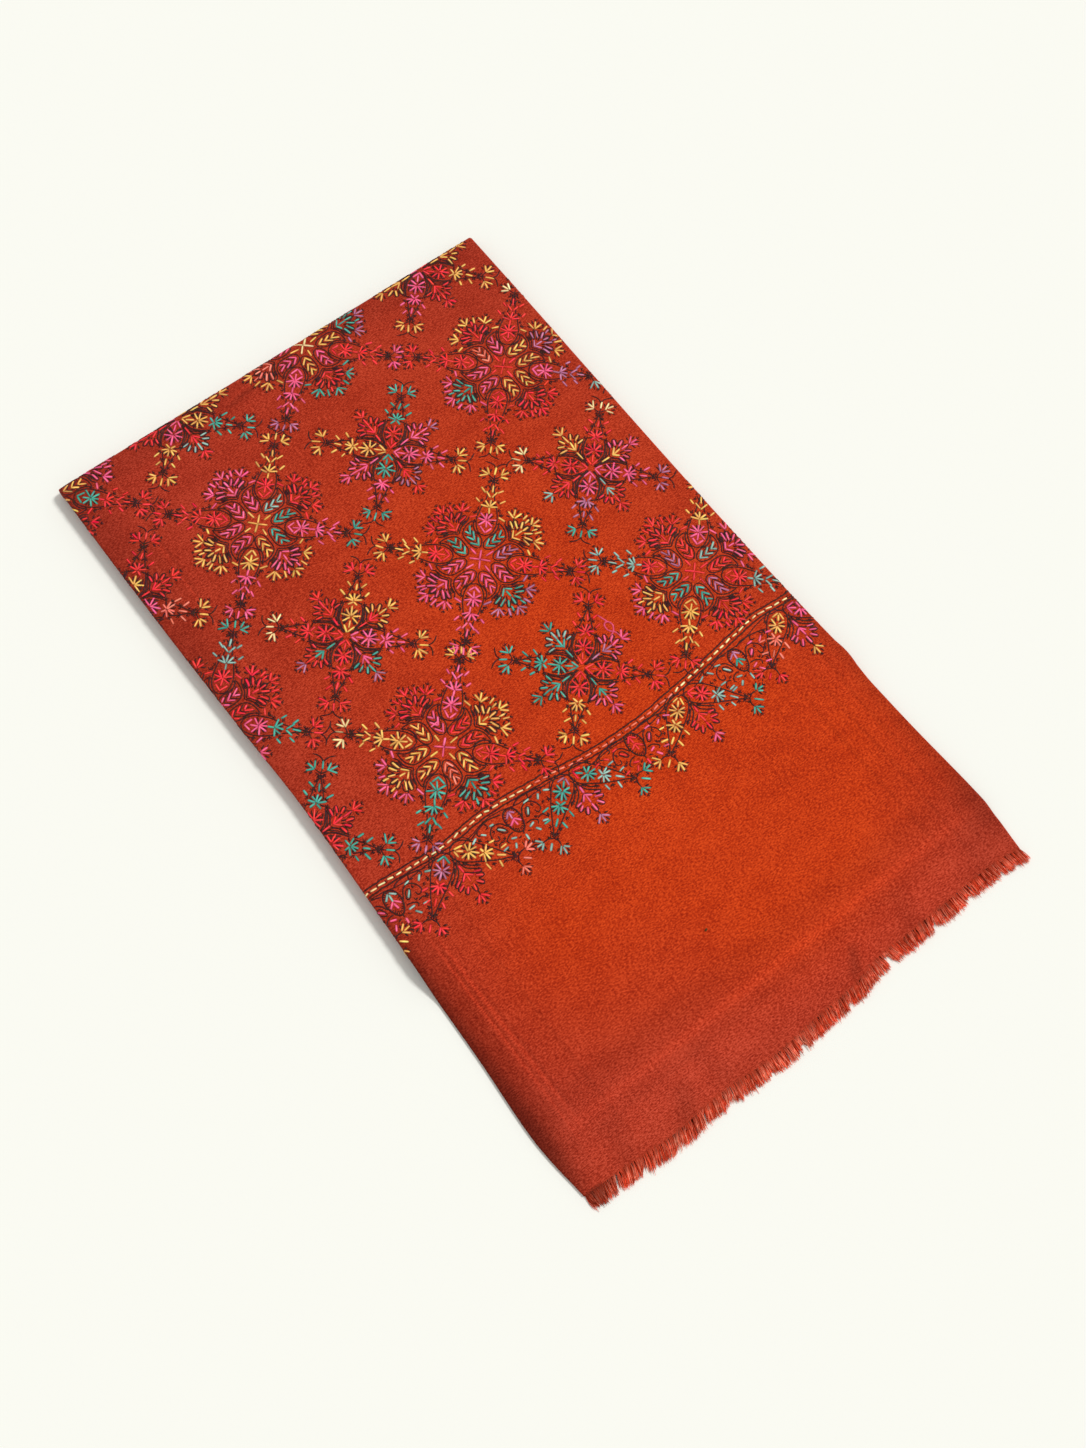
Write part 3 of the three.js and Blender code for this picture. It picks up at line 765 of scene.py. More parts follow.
def small_star(work, centre, turn, threads):
    for k in range(4):
        fan, ray, bud = (threads[part][k] for part in ("fans", "rays", "buds"))
        motif(work, centre, 90 * k + turn, NARROW_FAN, flower=fan, ray=ray, bud=bud)
    for k in range(4):
        angle = 45 + 90 * k + turn
        motif(work, centre, angle, SMALL_LEAF, base=threads["drops"][k], tip=threads["tips"][k])
        motif(work, centre, angle, BRANCH, SMALL_REACH, end=threads["ends"][k])


def star_table(parts, *stars):
    """A table of stars: the place of each, and the threads of its parts."""
    names = parts.split()
    return [{"at": (across, along), **dict(zip(names, threads.split()))} for across, along, threads in stars]


# The stars that show on the face. Threads go clockwise from the far side: petals, in pairs, and flowers
# with their rays and buds, and then leaves, their tips and end buds from the far right corner on.
BIG_STARS = star_table(
    "cross petals fans buds drops tips ends",
    (-174.5, 571.0, "GG PPGGGGRR GPRG GPRG RTGR GRGR GRGR"),
    (23.5, 565.0, "CG GGGGPGPP RTRS GMTG PRPG GRPG GPMG"),
    (-77.5, 469.0, "GG PPATTGPP PRPG PRGG RPGR GPPR GTPR"),
    (122.0, 469.0, "RR SPGGGGPP RMRT GGRP RPRR RMRR CAGR"),
    (-175.5, 371.0, "RR GGPRPPPP RRPP RRPP RPRG ATRG TRGG"),
    (22.0, 360.5, "PP TTTMPPPP RGTP RGMP PRPR GRPG GRPG"),
    (-72.5, 270.0, "PG GPRRGSGG RGTG RGRP PRTG PRTG GRMC"),
    (126.5, 270.0, "RR MRARMTTT RPRG RPRP PRGR GAGA GGRA"),
    (221.0, 564.0, "GG PPGGGGRR GPRG GPRG RTGR GRGR GRGR"),
    (220.0, 366.0, "RR GGPRPPPP RRPP RRPP RPTG ATTG TRTS"),
)
SMALL_STARS = star_table(
    "fans rays buds drops tips ends",
    (-75.5, 568.0, "RGRR RGAR RGRR GGPP GTGG GTGG"),
    (123.5, 568.0, "GGRG GGRG GGRG RRPP GGPP GGGP"),
    (-175.0, 470.0, "RRPR RRPR RRPR GPRR RSRR RGRR"),
    (22.0, 461.5, "RPRP RPMP RMRP RPTG TPPG TGTG"),
    (-77.0, 368.0, "RRPT RGTR RGMM GPRR GPRR RGRC"),
    (120.5, 370.0, "GGAR GPRR GPRA RPPR RPMR CMTC"),
    (-172.5, 270.0, "RRRR RRRR RRRR RRTT TTAA TTTT"),
    (27.5, 261.0, "TMTT APPT TPPT RRRT RRGT RRGT"),
    (221.0, 466.0, "RRPR RRPR RRPR GPRR RSGR RGAG"),
)
LATTICE = 99.4  # from star to star
COMMON_THREADS = "RRRPPGGTMS"


def any_threads():
    counts = {"cross": 2, "petals": 8, "fans": 4, "rays": 4, "buds": 4, "drops": 4, "tips": 4, "ends": 4}
    return {part: "".join(rng.choice(COMMON_THREADS) for _ in range(count)) for part, count in counts.items()}


BORDER_LINE = table(
    "across along",
    (-168.5, 222.0), (-156.5, 222.5), (-110.5, 219.0), (-78.5, 221.0), (-36.5, 217.0), (-1.5, 212.0),
    (34.5, 211.0), (66.5, 213.5), (105.5, 218.3), (136.5, 222.0), (159.5, 220.0),
)
# Half stars below the line: their top point, and the threads of the left drop, flower and right drop.
BORDER_STARS = table(
    "across left flower right",
    (-198.5, "RRRR", "RR", "GGGG"), (-110.1, "TMRR", "RR", "GGGS"), (-22.7, "MTTA", "PM", "RTAT"),
    (66.4, "GGGG", "RP", "RRAT"), (153.9, "GGSR", "PG", "PPPP"),
)
BORDER_LEAVES = table(
    "across along threads left right",
    (-153.8, 209.0, "AP", "P", "A"), (-66.5, 207.0, "MP", "A", "A"), (22.1, 200.5, "RR", "R", "P"),
    (109.2, 205.6, "MT", "A", "P"),
)
RUNNING_PITCH = 5.9
PALE_RUN = (-44, 60)  # across, where the running stitch is salmon and not cream
LINE_APART = 2.5  # of each back-stitched line from the running stitch
SCROLL_BELOW = 5.2
STARS_BELOW = 4.4
DROP_TURNS = ((227, "left", -1), (133, "right", 1))


def border_line(across):
    return read(BORDER_LINE, "across", "along", across)


def double_line(work):
    """A running stitch between two back-stitched lines, with a third line that scrolls below."""
    across = np.arange(-172.0, 173.0, 2.8)
    centre = border_line(across)
    pen = Pen(work, (0, 0))
    for offset in (LINE_APART, -LINE_APART):
        pen.line(list(zip(across, centre + offset)), width=1.1)
    pen.line(list(zip(across, centre - SCROLL_BELOW + 1.2 * np.sin(across / 7.0))), width=FINE_WIDTH)
    for x in np.arange(-171.0, 171.5, RUNNING_PITCH):
        y = float(border_line(x))
        slope = float(border_line(x + 1) - border_line(x - 1)) / 2
        colour = "S" if PALE_RUN[0] < x < PALE_RUN[1] else "C"
        pen.stitch((x - 1.6, y - 1.6 * slope), (x + 1.6, y + 1.6 * slope), colour, RUNNING_WIDTH)
        pen.line([(x + 2.9, y + 2.9 * slope + 0.9), (x + 2.9, y + 2.9 * slope - 0.9)], width=TICK_WIDTH)


def oval_leaf(work, centre, threads, left, right):
    """A small upright leaf in a ticked oval, between scrolls and scattered stitches."""
    pen = Pen(work, centre)
    turns = np.linspace(0, 2 * math.pi, 15)[:-1]
    oval = [(5.1 * math.sin(t), 8.6 * math.cos(t) - 0.6 * math.cos(2 * t)) for t in turns]
    pen.line(oval, closed=True, width=TICK_WIDTH)
    for t in np.linspace(0, 2 * math.pi, 27)[:-1]:
        tick = [(3.5 * math.sin(t), 6.6 * math.cos(t)), (4.7 * math.sin(t), 8.2 * math.cos(t))]
        pen.line(tick, width=TICK_WIDTH)
    for out, colour in ((6.2, threads[0]), (0.6, threads[1])):
        for side in (-1, 1):
            pen.stitch((0, out), (3.3 * side, out - 3.0), colour)
        pen.stitch((0, out - 1.2), (0, out - 5.0), colour)
    pen.line([(0, -8.6), (0, -11.4)])
    motif(work, centre, 0, LEAF_SIDES, leaf=right + left)
    pen.stitch((0, -12.0), (0, -15.6), left)


def make_border(work):
    double_line(work)
    for row in BORDER_STARS:
        x = row["across"]
        y = float(border_line(x)) - STARS_BELOW
        for turn, part, side in DROP_TURNS:
            corner, base, tip, end = row[part]
            centre = (x + side * 1.8, y)
            motif(work, centre, turn, BORDER_DROP, corner=corner, base=base, tip=tip)
            motif(work, centre, turn, BORDER_BRANCH, BORDER_REACH, end=end)
        motif(work, (x, y - 2.0), 180, BORDER_FLOWER, flower=row["flower"][0], bud=row["flower"][1])
    for row in BORDER_LEAVES:
        oval_leaf(work, (row["across"], row["along"]), row["threads"], row["left"], row["right"])


# Thread meshes.

LIP_SHOWN = 2.4  # how far the needlework goes round a long edge, in radians
STITCH_STATIONS = [(-0.09, 0.6, -0.1), (0.08, 0.95, 0.8), (0.5, 1.0, 1.0), (0.92, 0.95, 0.8), (1.09, 0.6, -0.1)]
STITCH_SECTION = [(-1.0, -0.25), (-0.36, 0.72), (0.36, 0.72), (1.0, -0.25)]
STITCH_SIDE_PAINTED_LIGHT = [0.05, 1.6, 1.2, 0.05]  # painted shade on each stitch's edges, where they sink into the cloth, and a painted highlight on its top, lighter on one side
# Painted shade at each stitch's two ends, and a slight painted highlight in its middle.
STITCH_END_PAINTED_LIGHT = [0.1, 0.9, 1.15, 1.0, 0.1]
LINE_SECTION = [(-1.0, -0.3), (0.0, 1.0), (1.0, -0.3)]
LINE_DIP, LINE_END = 0.78, 0.6  # size between back stitches, and at a line's ends
STITCH_SPREAD, LINE_SPREAD, HUE_SPREAD = 0.15, 0.02, 0.006  # of the threads' colours
UNDER_MARGIN = 1.6


def shown(points):
    """Which points are on cloth that shows: not past the turned-under part of the long edges."""
    across, along = points[..., 0], points[..., 1]
    beyond = LIP_SHOWN * LIP
    left = left_edge(along) + LIP - beyond
    right = right_edge(along) - LIP + beyond
    under_left, under_right = inset_edges(UNDER_INSET, back_along(along))
    under = along > FOLD_CENTRE + FOLD_TURN * 0.5
    left = np.where(under, under_left + UNDER_MARGIN, left)
    right = np.where(under, under_right - UNDER_MARGIN, right)
    return (across > left) & (across < right)


def thread_colour(names, spread):
    base = np.array([THREADS[n] for n in names], float)
    light = noise.normal(1.0, spread, (len(names), 1))
    return np.clip(base * light + noise.normal(0, HUE_SPREAD, base.shape), 0, 1)


def stitch_arrays(stitches):
    """Vertices, faces and colours of straight stitches, each a low pillow of thread."""
    ends = np.array([points for points, _, _ in stitches])
    keep = shown(ends).all(axis=1)
    ends = ends[keep]
    names = [name for (_, name, _), kept in zip(stitches, keep) if kept]
    widths = np.array([width for _, _, width in stitches])[keep, None]
    run = ends[:, 1] - ends[:, 0]
    length = np.linalg.norm(run, axis=1, keepdims=True)
    run = run / np.maximum(length, 1e-6)
    side = np.stack([-run[:, 1], run[:, 0]], axis=1)
    width = STITCH_WIDTH * widths * noise.uniform(0.86, 1.12, (len(ends), 1)) / 2
    rings = []
    for part, wide, high in STITCH_STATIONS:
        centre = ends[:, 0] + (ends[:, 1] - ends[:, 0]) * part
        ring = []
        for offset, up in STITCH_SECTION:
            at = centre + side * width * offset * wide
            lift = np.full(len(ends), STITCH_HEIGHT * (up * high if up > 0 else up))
            ring.append(on_cloth(at[:, 0], at[:, 1], lift))
        rings.append(np.stack(ring, axis=1))
    vertices = np.stack(rings, axis=1)
    count, stations, points = vertices.shape[:3]
    index, quads = rings_of(stations, points)
    quads = np.concatenate([quads, [index[0][::-1]], [index[-1]]])
    faces = (quads[None] + (np.arange(count) * stations * points)[:, None, None]).reshape(-1, 4)
    # The stitches' painted shade and painted highlights: dark edges and ends, a light top.
    shade = np.outer(STITCH_END_PAINTED_LIGHT, STITCH_SIDE_PAINTED_LIGHT).ravel()
    colours = thread_colour(names, STITCH_SPREAD)[:, None, :] * shade[None, :, None]
    return vertices.reshape(-1, 3), faces, np.clip(colours.reshape(-1, 3), 0, 1)


def clipped(lines):
    """The parts of each line that lie on cloth that shows."""
    seen = shown(np.concatenate([points for points, _, _ in lines]))
    kept, start = [], 0
    for points, name, width in lines:
        here = seen[start : start + len(points)]
        start += len(points)
        breaks = np.flatnonzero(np.diff(here)) + 1
        for part, on in zip(np.split(points, breaks), np.split(here, breaks)):
            if on[0] and len(part) > 1:
                kept.append((part, name, width))
    return kept


def line_arrays(lines):
    """Vertices, faces and colours of back-stitched lines, each a narrow ridge that dips between stitches."""
    kept = clipped(lines)
    points = np.concatenate([p for p, _, _ in kept])
    sides, dips, quads, caps, start = [], [], [], [], 0
    for p, _, width in kept:
        run = np.gradient(p, axis=0)
        run /= np.maximum(np.linalg.norm(run, axis=1, keepdims=True), 1e-6)
        sides.append(np.stack([-run[:, 1], run[:, 0]], axis=1))
        dip = np.where(np.arange(len(p)) % 2 == 0, LINE_DIP, 1.0)
        dip[[0, -1]] = LINE_END
        dips.append(dip * width)
        index, between = rings_of(len(p), 3)
        quads.append(3 * start + between)
        caps.append(3 * start + np.stack([index[0][::-1], index[-1]]))
        start += len(p)
    side = np.concatenate(sides)
    dip = np.concatenate(dips)
    ring = []
    for offset, up in LINE_SECTION:
        at = points + side * (LINE_WIDTH / 2 * offset * dip)[:, None]
        lift = LINE_HEIGHT * (up * dip if up > 0 else np.full(len(points), up))
        ring.append(on_cloth(at[:, 0], at[:, 1], lift))
    vertices = np.stack(ring, axis=1).reshape(-1, 3)
    names = [name for p, name, _ in kept for _ in range(3 * len(p))]
    return vertices, np.concatenate(quads), np.concatenate(caps), thread_colour(names, LINE_SPREAD)


def make_thread_piece(name, work):
    stitch_vertices, stitch_faces, stitch_colours = stitch_arrays(work.stitches)
    line_vertices, quads, caps, line_colours = line_arrays(work.lines)
    offset = len(stitch_vertices)
    piece = make_mesh(
        name,
        np.concatenate([stitch_vertices, line_vertices]),
        [np.concatenate([stitch_faces, quads + offset]), caps + offset],
    )
    set_colours(piece, np.concatenate([stitch_colours, line_colours]))
    return piece


# A thread that has been pulled up in a loop, and one stitch set apart from the stars.
PULLED_LOOP = [
    (52.6, 262.4), (55.4, 266.4), (58.8, 268.8), (61.2, 272.6), (60.0, 276.2), (57.0, 275.4), (56.6, 271.2),
    (59.2, 267.0), (60.6, 262.6), (59.0, 279.0), (57.4, 283.4),
]
LONE_STITCH = ((-71.6, 285.6), (-66.4, 286.4))
SPECK = ((-17.4, 84.3), (-16.3, 84.0))
STAR_TURN = 1.5  # in degrees, at most
UNDERSIDE_START = (22.6, 565.5)
UNDERSIDE_DRIFT = 2


def make_needlework():
    big, small, border = (Work(LINE_STEP) for _ in range(3))
    under_big, under_small = (Work(UNDER_LINE_STEP) for _ in range(2))
    for star in BIG_STARS:
        big_star(big, star["at"], rng.uniform(-STAR_TURN, STAR_TURN), star)
    for star in SMALL_STARS:
        small_star(small, star["at"], rng.uniform(-STAR_TURN, STAR_TURN), star)
    make_border(border)
    loose = Pen(small, (0, 0))
    loose.line(PULLED_LOOP[:9], colour="P", width=TICK_WIDTH)
    loose.line([PULLED_LOOP[4], *PULLED_LOOP[9:]], colour="P", width=TICK_WIDTH)
    loose.stitch(*LONE_STITCH, "P")
    loose.stitch(*SPECK, "K", 0.8)
    for row in range(1, 5):
        for col in range(-2, 3):
            centre = [
                start + LATTICE * step + rng.uniform(-UNDERSIDE_DRIFT, UNDERSIDE_DRIFT)
                for start, step in zip(UNDERSIDE_START, (col, row))
            ]
            make, work = (big_star, under_big) if (row + col) % 2 == 0 else (small_star, under_small)
            make(work, centre, rng.uniform(-UNDERSIDE_DRIFT, UNDERSIDE_DRIFT), any_threads())
    end_of_under = FOLD_CENTRE + FOLD_TURN + (FOLD_CENTRE - MIDDLE_FOLD) - 3
    for under in (under_big, under_small):
        under.stitches = [s for s in under.stitches if s[0][:, 1].max() < end_of_under]
        under.lines = [s for s in under.lines if s[0][:, 1].max() < end_of_under]
    pieces = {
        "big_stars": big, "small_stars": small, "border_stitching": border,
        "underside_big_stars": under_big, "underside_small_stars": under_small,
    }
    return [make_thread_piece(name, work) for name, work in pieces.items()]


# The fringe.

STRANDS = table(
    "count height tip length root light on_face",
    (1500, 2.2, 0.4, 8.9, 1.6, 1.0, True), (1300, 0.9, 0.35, 8.8, 0.8, 1.4, False),
)
# Notches where the strands are short.
NOTCHES = table(
    "across half_width amount",
    (-146, 2.5, 0.5), (-128, 3, 0.35), (-103, 3, 0.4), (-84, 2, 0.75), (-66, 3, 0.4), (-38, 3, 0.3),
    (-14, 3, 0.4), (26, 3, 0.35), (58, 3, 0.75), (96, 4, 0.35), (122, 4, 0.35), (147, 2, 0.25),
)
STRAND_LEAN = table(
    "across lean",
    (-167, 0.9), (-140, -3.4), (-100, -3.6), (-60, -2.6), (-30, -0.6), (0, -1.6), (40, -2.2), (60, 1.6),
    (90, -2.0), (120, 0.6), (167, 1.0),
)
STRAND_RADIUS = 0.33
# Painted shade at the strands' roots and painted light towards their tips.
STRAND_PAINTED_LIGHT = [0.85, 0.95, 1.15, 1.35, 1.4]
# How far out along a strand its painted highlight reaches.
STRAND_HIGHLIGHT_SHARE = [0.1, 0.45, 1.0, 1.0, 1.0]
FRINGE_THREAD = (0.57, 0.057, 0.020)
# The colour of the strands' painted highlights.
STRAND_HIGHLIGHT = (1.0, 0.32, 0.20)
STRAND_STEPS = [(0.0, 0.8), (0.3, 1.1), (0.58, 1.0), (0.82, 0.7), (1.0, 0.2)]


def strand_rings(layer, root, short):
    """Rings of three points along each strand of one layer, from its root in the hem to its tip."""
    count = len(root)
    hem = hem_shift(root, np.full(count, HEM_ALONG))
    lift = relief(root, hem) if layer["on_face"] else np.zeros(count)
    length = layer["length"] * noise.normal(1.0, 0.12, count) * (1 - short)
    clump = np.sin(root * 1.3 + 2.6 * np.sin(root * 0.31)) * 0.42
    lean = read(STRAND_LEAN, "across", "lean", root) - clump + noise.normal(0, 0.75, count)
    bend = noise.normal(0, 0.45, count)
    droop = noise.uniform(0.75, 1.1, count)
    inside = layer["root"] * noise.uniform(0.3, 1.0, count)
    top = layer["height"] + lift
    tip = layer["tip"] + 0.3 * lift + noise.uniform(0, 0.9, count)
    rings = []
    for part, size in STRAND_STEPS:
        x = root + lean * part**1.3 + bend * math.sin(math.pi * part)
        y = hem + inside - (length + inside) * part
        z = top + (tip - top) * np.minimum(part**1.2 * droop, 1)
        z = np.maximum(z, STRAND_RADIUS + 0.05)
        corners = []
        for turn in (90, 210, 330):
            a = math.radians(turn)
            across = x + STRAND_RADIUS * size * math.cos(a)
            corners.append(np.stack([across, y - MIDDLE, z + STRAND_RADIUS * size * math.sin(a)], axis=-1))
        rings.append(np.stack(corners, axis=1))
    return np.stack(rings, axis=1)


def strand_colours(layer, root, short):
    """Colours of one layer's strands: painted highlights on some, more where they are short, painted shade at
    the roots and painted light at the tips, and darker at the near left corner.
    """
    each = (len(root), 1)
    bunched = np.clip(1.4 * short, 0, 1)[:, None]
    # Painted highlights on some strands, more of them where the strands are short.
    pale = (noise.uniform(0, 1, each) > 0.6 - 0.5 * bunched) * noise.uniform(0.25, 0.9, each)
    corner = ridge(root + 160, 15)[:, None]
    base = np.array(FRINGE_THREAD) * noise.uniform(0.6, 1.3, each) * layer["light"] * (1 - 0.55 * corner)
    pale = pale * (1 - 0.7 * corner)
    mixed = pale[:, :, None] * np.repeat(STRAND_HIGHLIGHT_SHARE, 3)[None, :, None]
    colour = base[:, None, :] * (1 - mixed) + np.array(STRAND_HIGHLIGHT) * mixed
    return (colour * np.repeat(STRAND_PAINTED_LIGHT, 3)[None, :, None]).reshape(-1, 3)


def make_fringe():
    """Loose ends of yarn in two layers: from the hem's face, and from the cloth turned under it."""
    vertices, faces, colours = [], [], []
    total = 0
    quads = rings_of(len(STRAND_STEPS), 3)[1][:, ::-1]
    quads = np.roll(quads, 1, axis=1)
    for layer in STRANDS:
        root = np.sort(noise.uniform(-165.6, 166.8, layer["count"]))
        short = sum(row["amount"] * ridge(root - row["across"], row["half_width"]) for row in NOTCHES)
        vertices.append(strand_rings(layer, root, short).reshape(-1, 3))
        offsets = (total + np.arange(len(root)) * len(STRAND_STEPS) * 3)[:, None, None]
        faces.append((quads[None] + offsets).reshape(-1, 4))
        colours.append(strand_colours(layer, root, short))
        total += len(vertices[-1])
    piece = make_mesh("fringe_strands", np.concatenate(vertices), [np.concatenate(faces)])
    set_colours(piece, np.clip(np.concatenate(colours), 0, 1))
    return piece


# Materials.


class Shader:
    """A material and its nodes, each linked as it is made."""

    def __init__(self, name):
        self.material = bpy.data.materials.new(name)
        self.material.use_nodes = True
        self.nodes = self.material.node_tree.nodes
        self.links = self.material.node_tree.links
        self.inputs = self.nodes["Principled BSDF"].inputs

    def set(self, **values):
        for name, value in values.items():
            self.inputs[name.replace("_", " ")].default_value = value

    def node(self, kind, values=(), links=(), **settings):
        node = self.nodes.new("ShaderNode" + kind)
        for key, value in settings.items():
            setattr(node, key, value)
        for key, value in dict(values).items():
            node.inputs[key].default_value = value
        for key, socket in dict(links).items():
            self.links.new(socket, node.inputs[key])
        return node

    def maths(self, operation, first, second):
        node = self.node("Math", operation=operation)
        for socket, value in zip(node.inputs, (first, second)):
            if isinstance(value, (int, float)):
                socket.default_value = value
            else:
                self.links.new(value, socket)
        return node.outputs[0]

    def plus(self, first, second):
        return self.maths("ADD", first, second)

    def times(self, first, second):
        return self.maths("MULTIPLY", first, second)

    def field(self, vector, scale, detail, stretch=(1, 1, 1)):
        mapping = self.node("Mapping", {"Scale": stretch}, {"Vector": vector})
        place = mapping.outputs["Vector"]
        return self.node("TexNoise", {"Scale": scale, "Detail": detail}, {"Vector": place}).outputs["Fac"]

    def ramp(self, factor, stops):
        node = self.node("ValToRGB", links={"Fac": factor})
        elements = node.color_ramp.elements
        while len(elements) < len(stops):
            elements.new(0.5)
        for element, (position, colour) in zip(elements, stops):
            element.position = position
            element.color = (*colour, 1)
        return node.outputs["Color"]

    def surface(self, colour, shade, height, strength, depth):
        """The base colour times a shade, and a bump of a height in metres."""
        mix = self.node("Mix", data_type="RGBA", blend_type="MULTIPLY")
        mix.inputs["Factor"].default_value = 1.0
        self.links.new(colour, mix.inputs["A"])
        self.links.new(shade, mix.inputs["B"])
        self.links.new(mix.outputs["Result"], self.inputs["Base Color"])
        bump = self.node("Bump", {"Strength": strength, "Distance": depth}, {"Height": height})
        self.links.new(bump.outputs["Normal"], self.inputs["Normal"])


GROUND_ORANGE = (0.53, 0.038, 0.004)
GROUND_BRICK = (0.36, 0.029, 0.012)
# Painted light: a pinker tone on the strip that lies flat by the hem.
NEAR_HEM_PAINTED_LIGHT = (0.43, 0.039, 0.015)
TWILL_PITCH = 0.0013
TWILL_SLANT = 1.25
TWILL_WOBBLE = 0.0012
TWILL_SHADES = [(0.22, (0.60, 0.42, 0.40)), (0.5, (1.0, 1.0, 1.0)), (0.78, (1.42, 2.0, 2.6))]
THREAD_SHADES = [(0.45, (0.72, 0.72, 0.72)), (0.8, (1, 1, 1)), (1.0, (1.25, 1.25, 1.25))]


def twill_material():
    """Fine wool twill: slanted ribs, uneven yarns both ways, mottled dye, and a soft nap."""
    shader = Shader("wool_twill")
    vector = shader.node("Attribute", attribute_name="cloth_place").outputs["Vector"]
    split = shader.node("SeparateXYZ", links={"Vector": vector})
    across, along = split.outputs["X"], split.outputs["Y"]
    wobble = shader.field(vector, 160, 2)
    slant = shader.plus(across, shader.times(along, TWILL_SLANT))
    slant = shader.plus(slant, shader.times(wobble, TWILL_WOBBLE))
    rib = shader.maths("SINE", shader.times(slant, 2 * math.pi / TWILL_PITCH), 0)
    warp_streak = shader.field(vector, 1100, 2, (1.0, 0.25, 1))
    weft_streak = shader.field(vector, 1200, 2, (0.4, 1.2, 1))
    speckle = shader.field(vector, 1150, 3)
    blotch = shader.field(vector, 70, 3, (0.8, 1.3, 1))
    cloud = shader.field(vector, 11, 2)
    weave = shader.plus(warp_streak, weft_streak)
    weave = shader.plus(weave, shader.times(rib, 0.2))
    # The ground colour from set_ground, with its painted light and painted shade.
    tone = shader.node("Attribute", attribute_name="thread").outputs["Color"]
    depth = shader.times(shader.maths("SUBTRACT", weave, 1.0), 0.45)
    for field, share in ((weft_streak, 1.05), (speckle, 1.05), (blotch, 0.32), (cloud, 0.26)):
        depth = shader.plus(depth, shader.times(shader.maths("SUBTRACT", field, 0.5), share))
    shade = shader.ramp(shader.plus(depth, 0.5), TWILL_SHADES)
    shader.surface(tone, shade, weave, 0.55, 0.00022)
    rough = shader.plus(shader.times(speckle, 0.12), 0.74)
    shader.links.new(rough, shader.inputs["Roughness"])
    shader.set(Specular_IOR_Level=0.07, Sheen_Weight=0.08, Sheen_Roughness=0.45, Sheen_Tint=(0.9, 0.3, 0.16, 1))
    return shader.material


def thread_material(name, roughness, gloss):
    """Silky thread: the stitch's own colour with fine strands along it."""
    shader = Shader(name)
    own = shader.node("Attribute", attribute_name="thread").outputs["Color"]
    place = shader.node("TexCoord").outputs["Object"]
    fine = shader.field(place, 2600, 2)
    broad = shader.field(place, 260, 1)
    shade = shader.ramp(shader.plus(shader.times(fine, 0.6), broad), THREAD_SHADES)
    shader.surface(own, shade, fine, 0.4, 0.0001)
    shader.set(Roughness=roughness, Specular_IOR_Level=gloss)
    return shader.material


# Patches of orange on a brick ground: partly the dye's own tone, and partly painted light, brighter over the
# middle of the face than towards its edges.
TONE_PATCHES = table(
    "across along reach_across reach_along amount",
    (35, 300, 150, 200, 0.95), (70, 120, 170, 84, 0.85), (-95, 135, 45, 60, 0.35), (34, 44, 76, 34, 0.5),
)
# Painted shade and painted highlights along creases, troughs, rolled edges, folds and long edges: the two ends
# of each, its half width, and how light the cloth is painted there.
PAINTED_LIGHT_AND_SHADE = table(
    "x0 y0 x1 y1 half_width light",
    (-169, 4, -169, 200, 15, 0.36), (-154, 20, -154, 190, 7, 0.84),
    (-149.5, 34, -150.5, 184, 1.2, 1.2), (-147.5, 50, -148, 176, 1.6, 0.86),
    (-144.6, 40, -145.6, 180, 1.2, 1.16), (-142.2, 52, -143, 150, 2.0, 0.86),
    (-170, 58, 170, 60, 13, 0.92), (-160, 43, 168, 44, 5, 1.16),
    (-160, 24, 168, 22, 15, 1.08), (-150, 33, 110, 34, 3, 0.93), (169, 0, 170, 240, 16, 0.76),
    (172, 60, 130, -6, 20, 0.85), (-139.5, 352, -137, 520, 1.2, 1.24),
    (-137.5, 352, -135, 520, 1.8, 0.84), (-124.6, 20, -125, 220, 2.0, 0.9),
    (128.5, 30, 127.5, 176, 2.0, 0.9), (142, 18, 141.5, 205, 2.0, 0.88),
    (153.6, 26, 154, 320, 2.2, 0.88), (-41, 559, -20, 562, 1.6, 1.3),
    (-44, 555, -18, 557, 1.8, 0.72), (-135, 3, -130, 34, 12, 0.86),
    (-96, 2, -84, 26, 11, 0.82), (-60, 6, -66, 38, 10, 0.9), (36, 10, 47, 26, 5, 0.7),
    (82, 8, 90, 34, 12, 0.88), (-170, 560, 170, 560, 14, 0.86),
    (-170, 300, -168, 600, 34, 0.76),
)


def set_ground(piece):
    """The ground colour of each point of a cloth piece, with its painted light and painted shade, from its
    place on the flat cloth.
    """
    count = len(piece.data.vertices)
    flat = np.zeros(count * 3, np.float32)
    piece.data.attributes["cloth_place"].data.foreach_get("vector", flat)
    across, along = flat.reshape(-1, 3)[:, 0] / MM, flat.reshape(-1, 3)[:, 1] / MM
    # The orange patches are partly the dye's tone and partly painted light.
    tone = np.zeros(count)
    for patch in TONE_PATCHES:
        far = ((across - patch["across"]) / patch["reach_across"]) ** 2
        far = far + ((along - patch["along"]) / patch["reach_along"]) ** 2
        tone = tone + patch["amount"] * np.exp(-far)
    tone = np.clip(tone, 0, 1)[:, None]
    colour = np.array(GROUND_BRICK) * (1 - tone) + np.array(GROUND_ORANGE) * tone
    # Painted light: the ground turns pinker towards the hem.
    near = ease(76, 14, along)[:, None] * (1 - 0.5 * tone)
    colour = colour * (1 - near) + np.array(NEAR_HEM_PAINTED_LIGHT) * near
    # Painted shade and painted highlights along creases, rolled edges, folds and long edges.
    for shade in PAINTED_LIGHT_AND_SHADE:
        aside, ends = beside(shade, across, along)
        colour = colour * (1 + (shade["light"] - 1) * ridge(aside, shade["half_width"]) * ends)[:, None]
    set_colours(piece, np.clip(colour, 0, 1))


def dress(piece, material, slot, *nodes):
    piece.data.materials.append(material)
    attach(piece, "root")
    if nodes:
        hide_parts(*nodes)


# The stage.

CAMERA_PLACE = (-230.6, -30.1, 902.4)  # across, along, and height
CAMERA_AZIMUTH = -38.07
CAMERA_ELEVATION = 68.61
CAMERA_ROLL = 0.72
CAMERA_LENS = 38.57
CAMERA_SENSOR = 36.0
FLOOR_REACH = 6000
FLOOR_LEVEL = -0.05


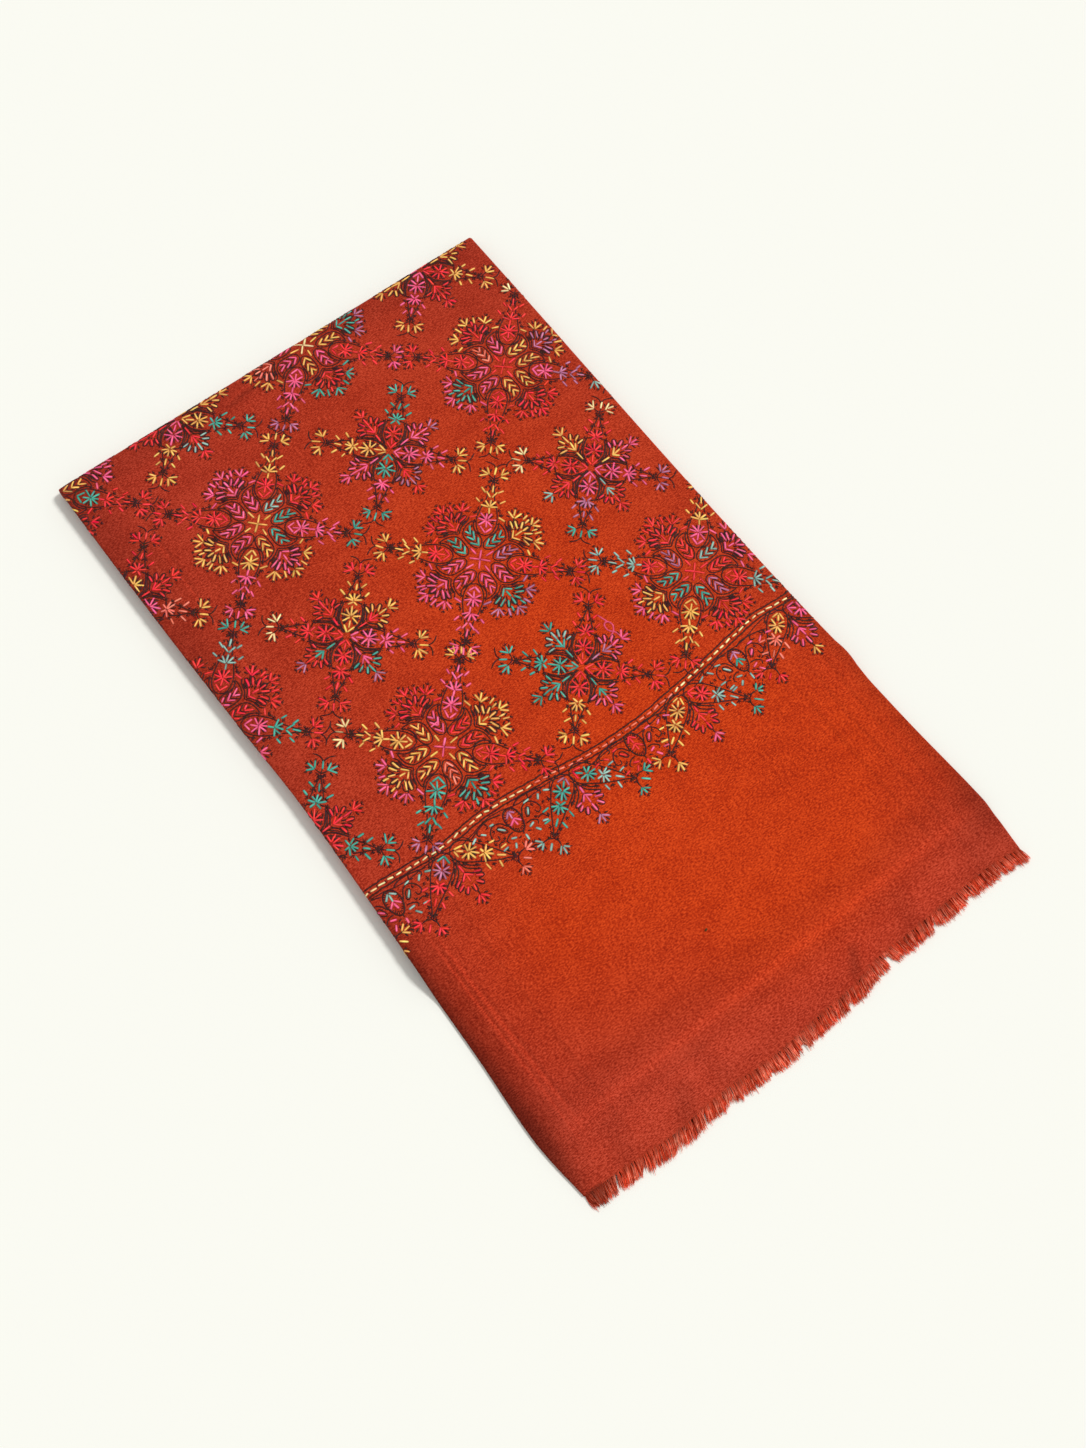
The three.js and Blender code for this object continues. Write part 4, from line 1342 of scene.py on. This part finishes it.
def make_camera():
    data = bpy.data.cameras.new("camera")
    data.sensor_fit = "AUTO"
    data.sensor_width = CAMERA_SENSOR
    data.lens = CAMERA_LENS
    camera = bpy.data.objects.new("camera", data)
    bpy.context.scene.collection.objects.link(camera)
    azimuth, elevation = math.radians(CAMERA_AZIMUTH), math.radians(CAMERA_ELEVATION)
    turn = Matrix.Rotation(azimuth, 4, "Z") @ Matrix.Rotation(math.pi / 2 - elevation, 4, "X")
    roll = Matrix.Rotation(math.radians(CAMERA_ROLL), 4, "Z")
    across, along, height = CAMERA_PLACE
    place = Matrix.Translation(Vector((across, along - MIDDLE, height)) * MM)
    camera.matrix_world = place @ turn @ roll
    bpy.context.scene.camera = camera


def make_sun(name, azimuth, elevation, spread, strength):
    """A broad distant lamp that shines from a compass direction and height, in degrees."""
    data = bpy.data.lights.new(name, "SUN")
    data.angle = math.radians(spread)
    data.energy = strength
    lamp = bpy.data.objects.new(name, data)
    turn, rise = math.radians(azimuth), math.radians(elevation)
    away = Vector((math.cos(turn) * math.cos(rise), math.sin(turn) * math.cos(rise), math.sin(rise)))
    lamp.rotation_mode = "QUATERNION"
    lamp.rotation_quaternion = away.to_track_quat("Z", "Y")
    bpy.context.scene.collection.objects.link(lamp)


def make_stage():
    corners = [(FLOOR_REACH * x, FLOOR_REACH * y, FLOOR_LEVEL) for x, y in ((-1, -1), (1, -1), (1, 1), (-1, 1))]
    floor = make_mesh("floor", corners, [[(0, 1, 2, 3)]])
    shader = Shader("pale_floor")
    shader.set(Base_Color=(0.93, 0.93, 0.86, 1), Roughness=0.9, Specular_IOR_Level=0.1)
    floor.data.materials.append(shader.material)
    world = bpy.data.worlds.new("studio")
    world.use_nodes = True
    world.node_tree.nodes["Background"].inputs["Color"].default_value = (1.0, 1.0, 1.0, 1)
    world.node_tree.nodes["Background"].inputs["Strength"].default_value = 0.56
    bpy.context.scene.world = world
    make_sun("key", -13, 52, 14, 1.9)
    bpy.context.scene.view_settings.view_transform = "Standard"


top_cloth = make_top_cloth()
hidden_cloth = make_hidden_cloth()
under_cloth = make_under_cloth()
needlework = make_needlework()
fringe = make_fringe()

twill = twill_material()
silk = thread_material("embroidery_thread", 0.5, 0.22)
yarn = thread_material("fringe_yarn", 0.8, 0.1)
for cloth, node in ((top_cloth, "top_panel"), (hidden_cloth, "hidden_layers"), (under_cloth, "under_panel")):
    set_ground(cloth)
    dress(cloth, twill, "cloth", node)
for piece in needlework:
    dress(piece, silk, "thread")
dress(fringe, yarn, "thread", "fringe_face", "fringe_turned")

make_camera()
make_stage()
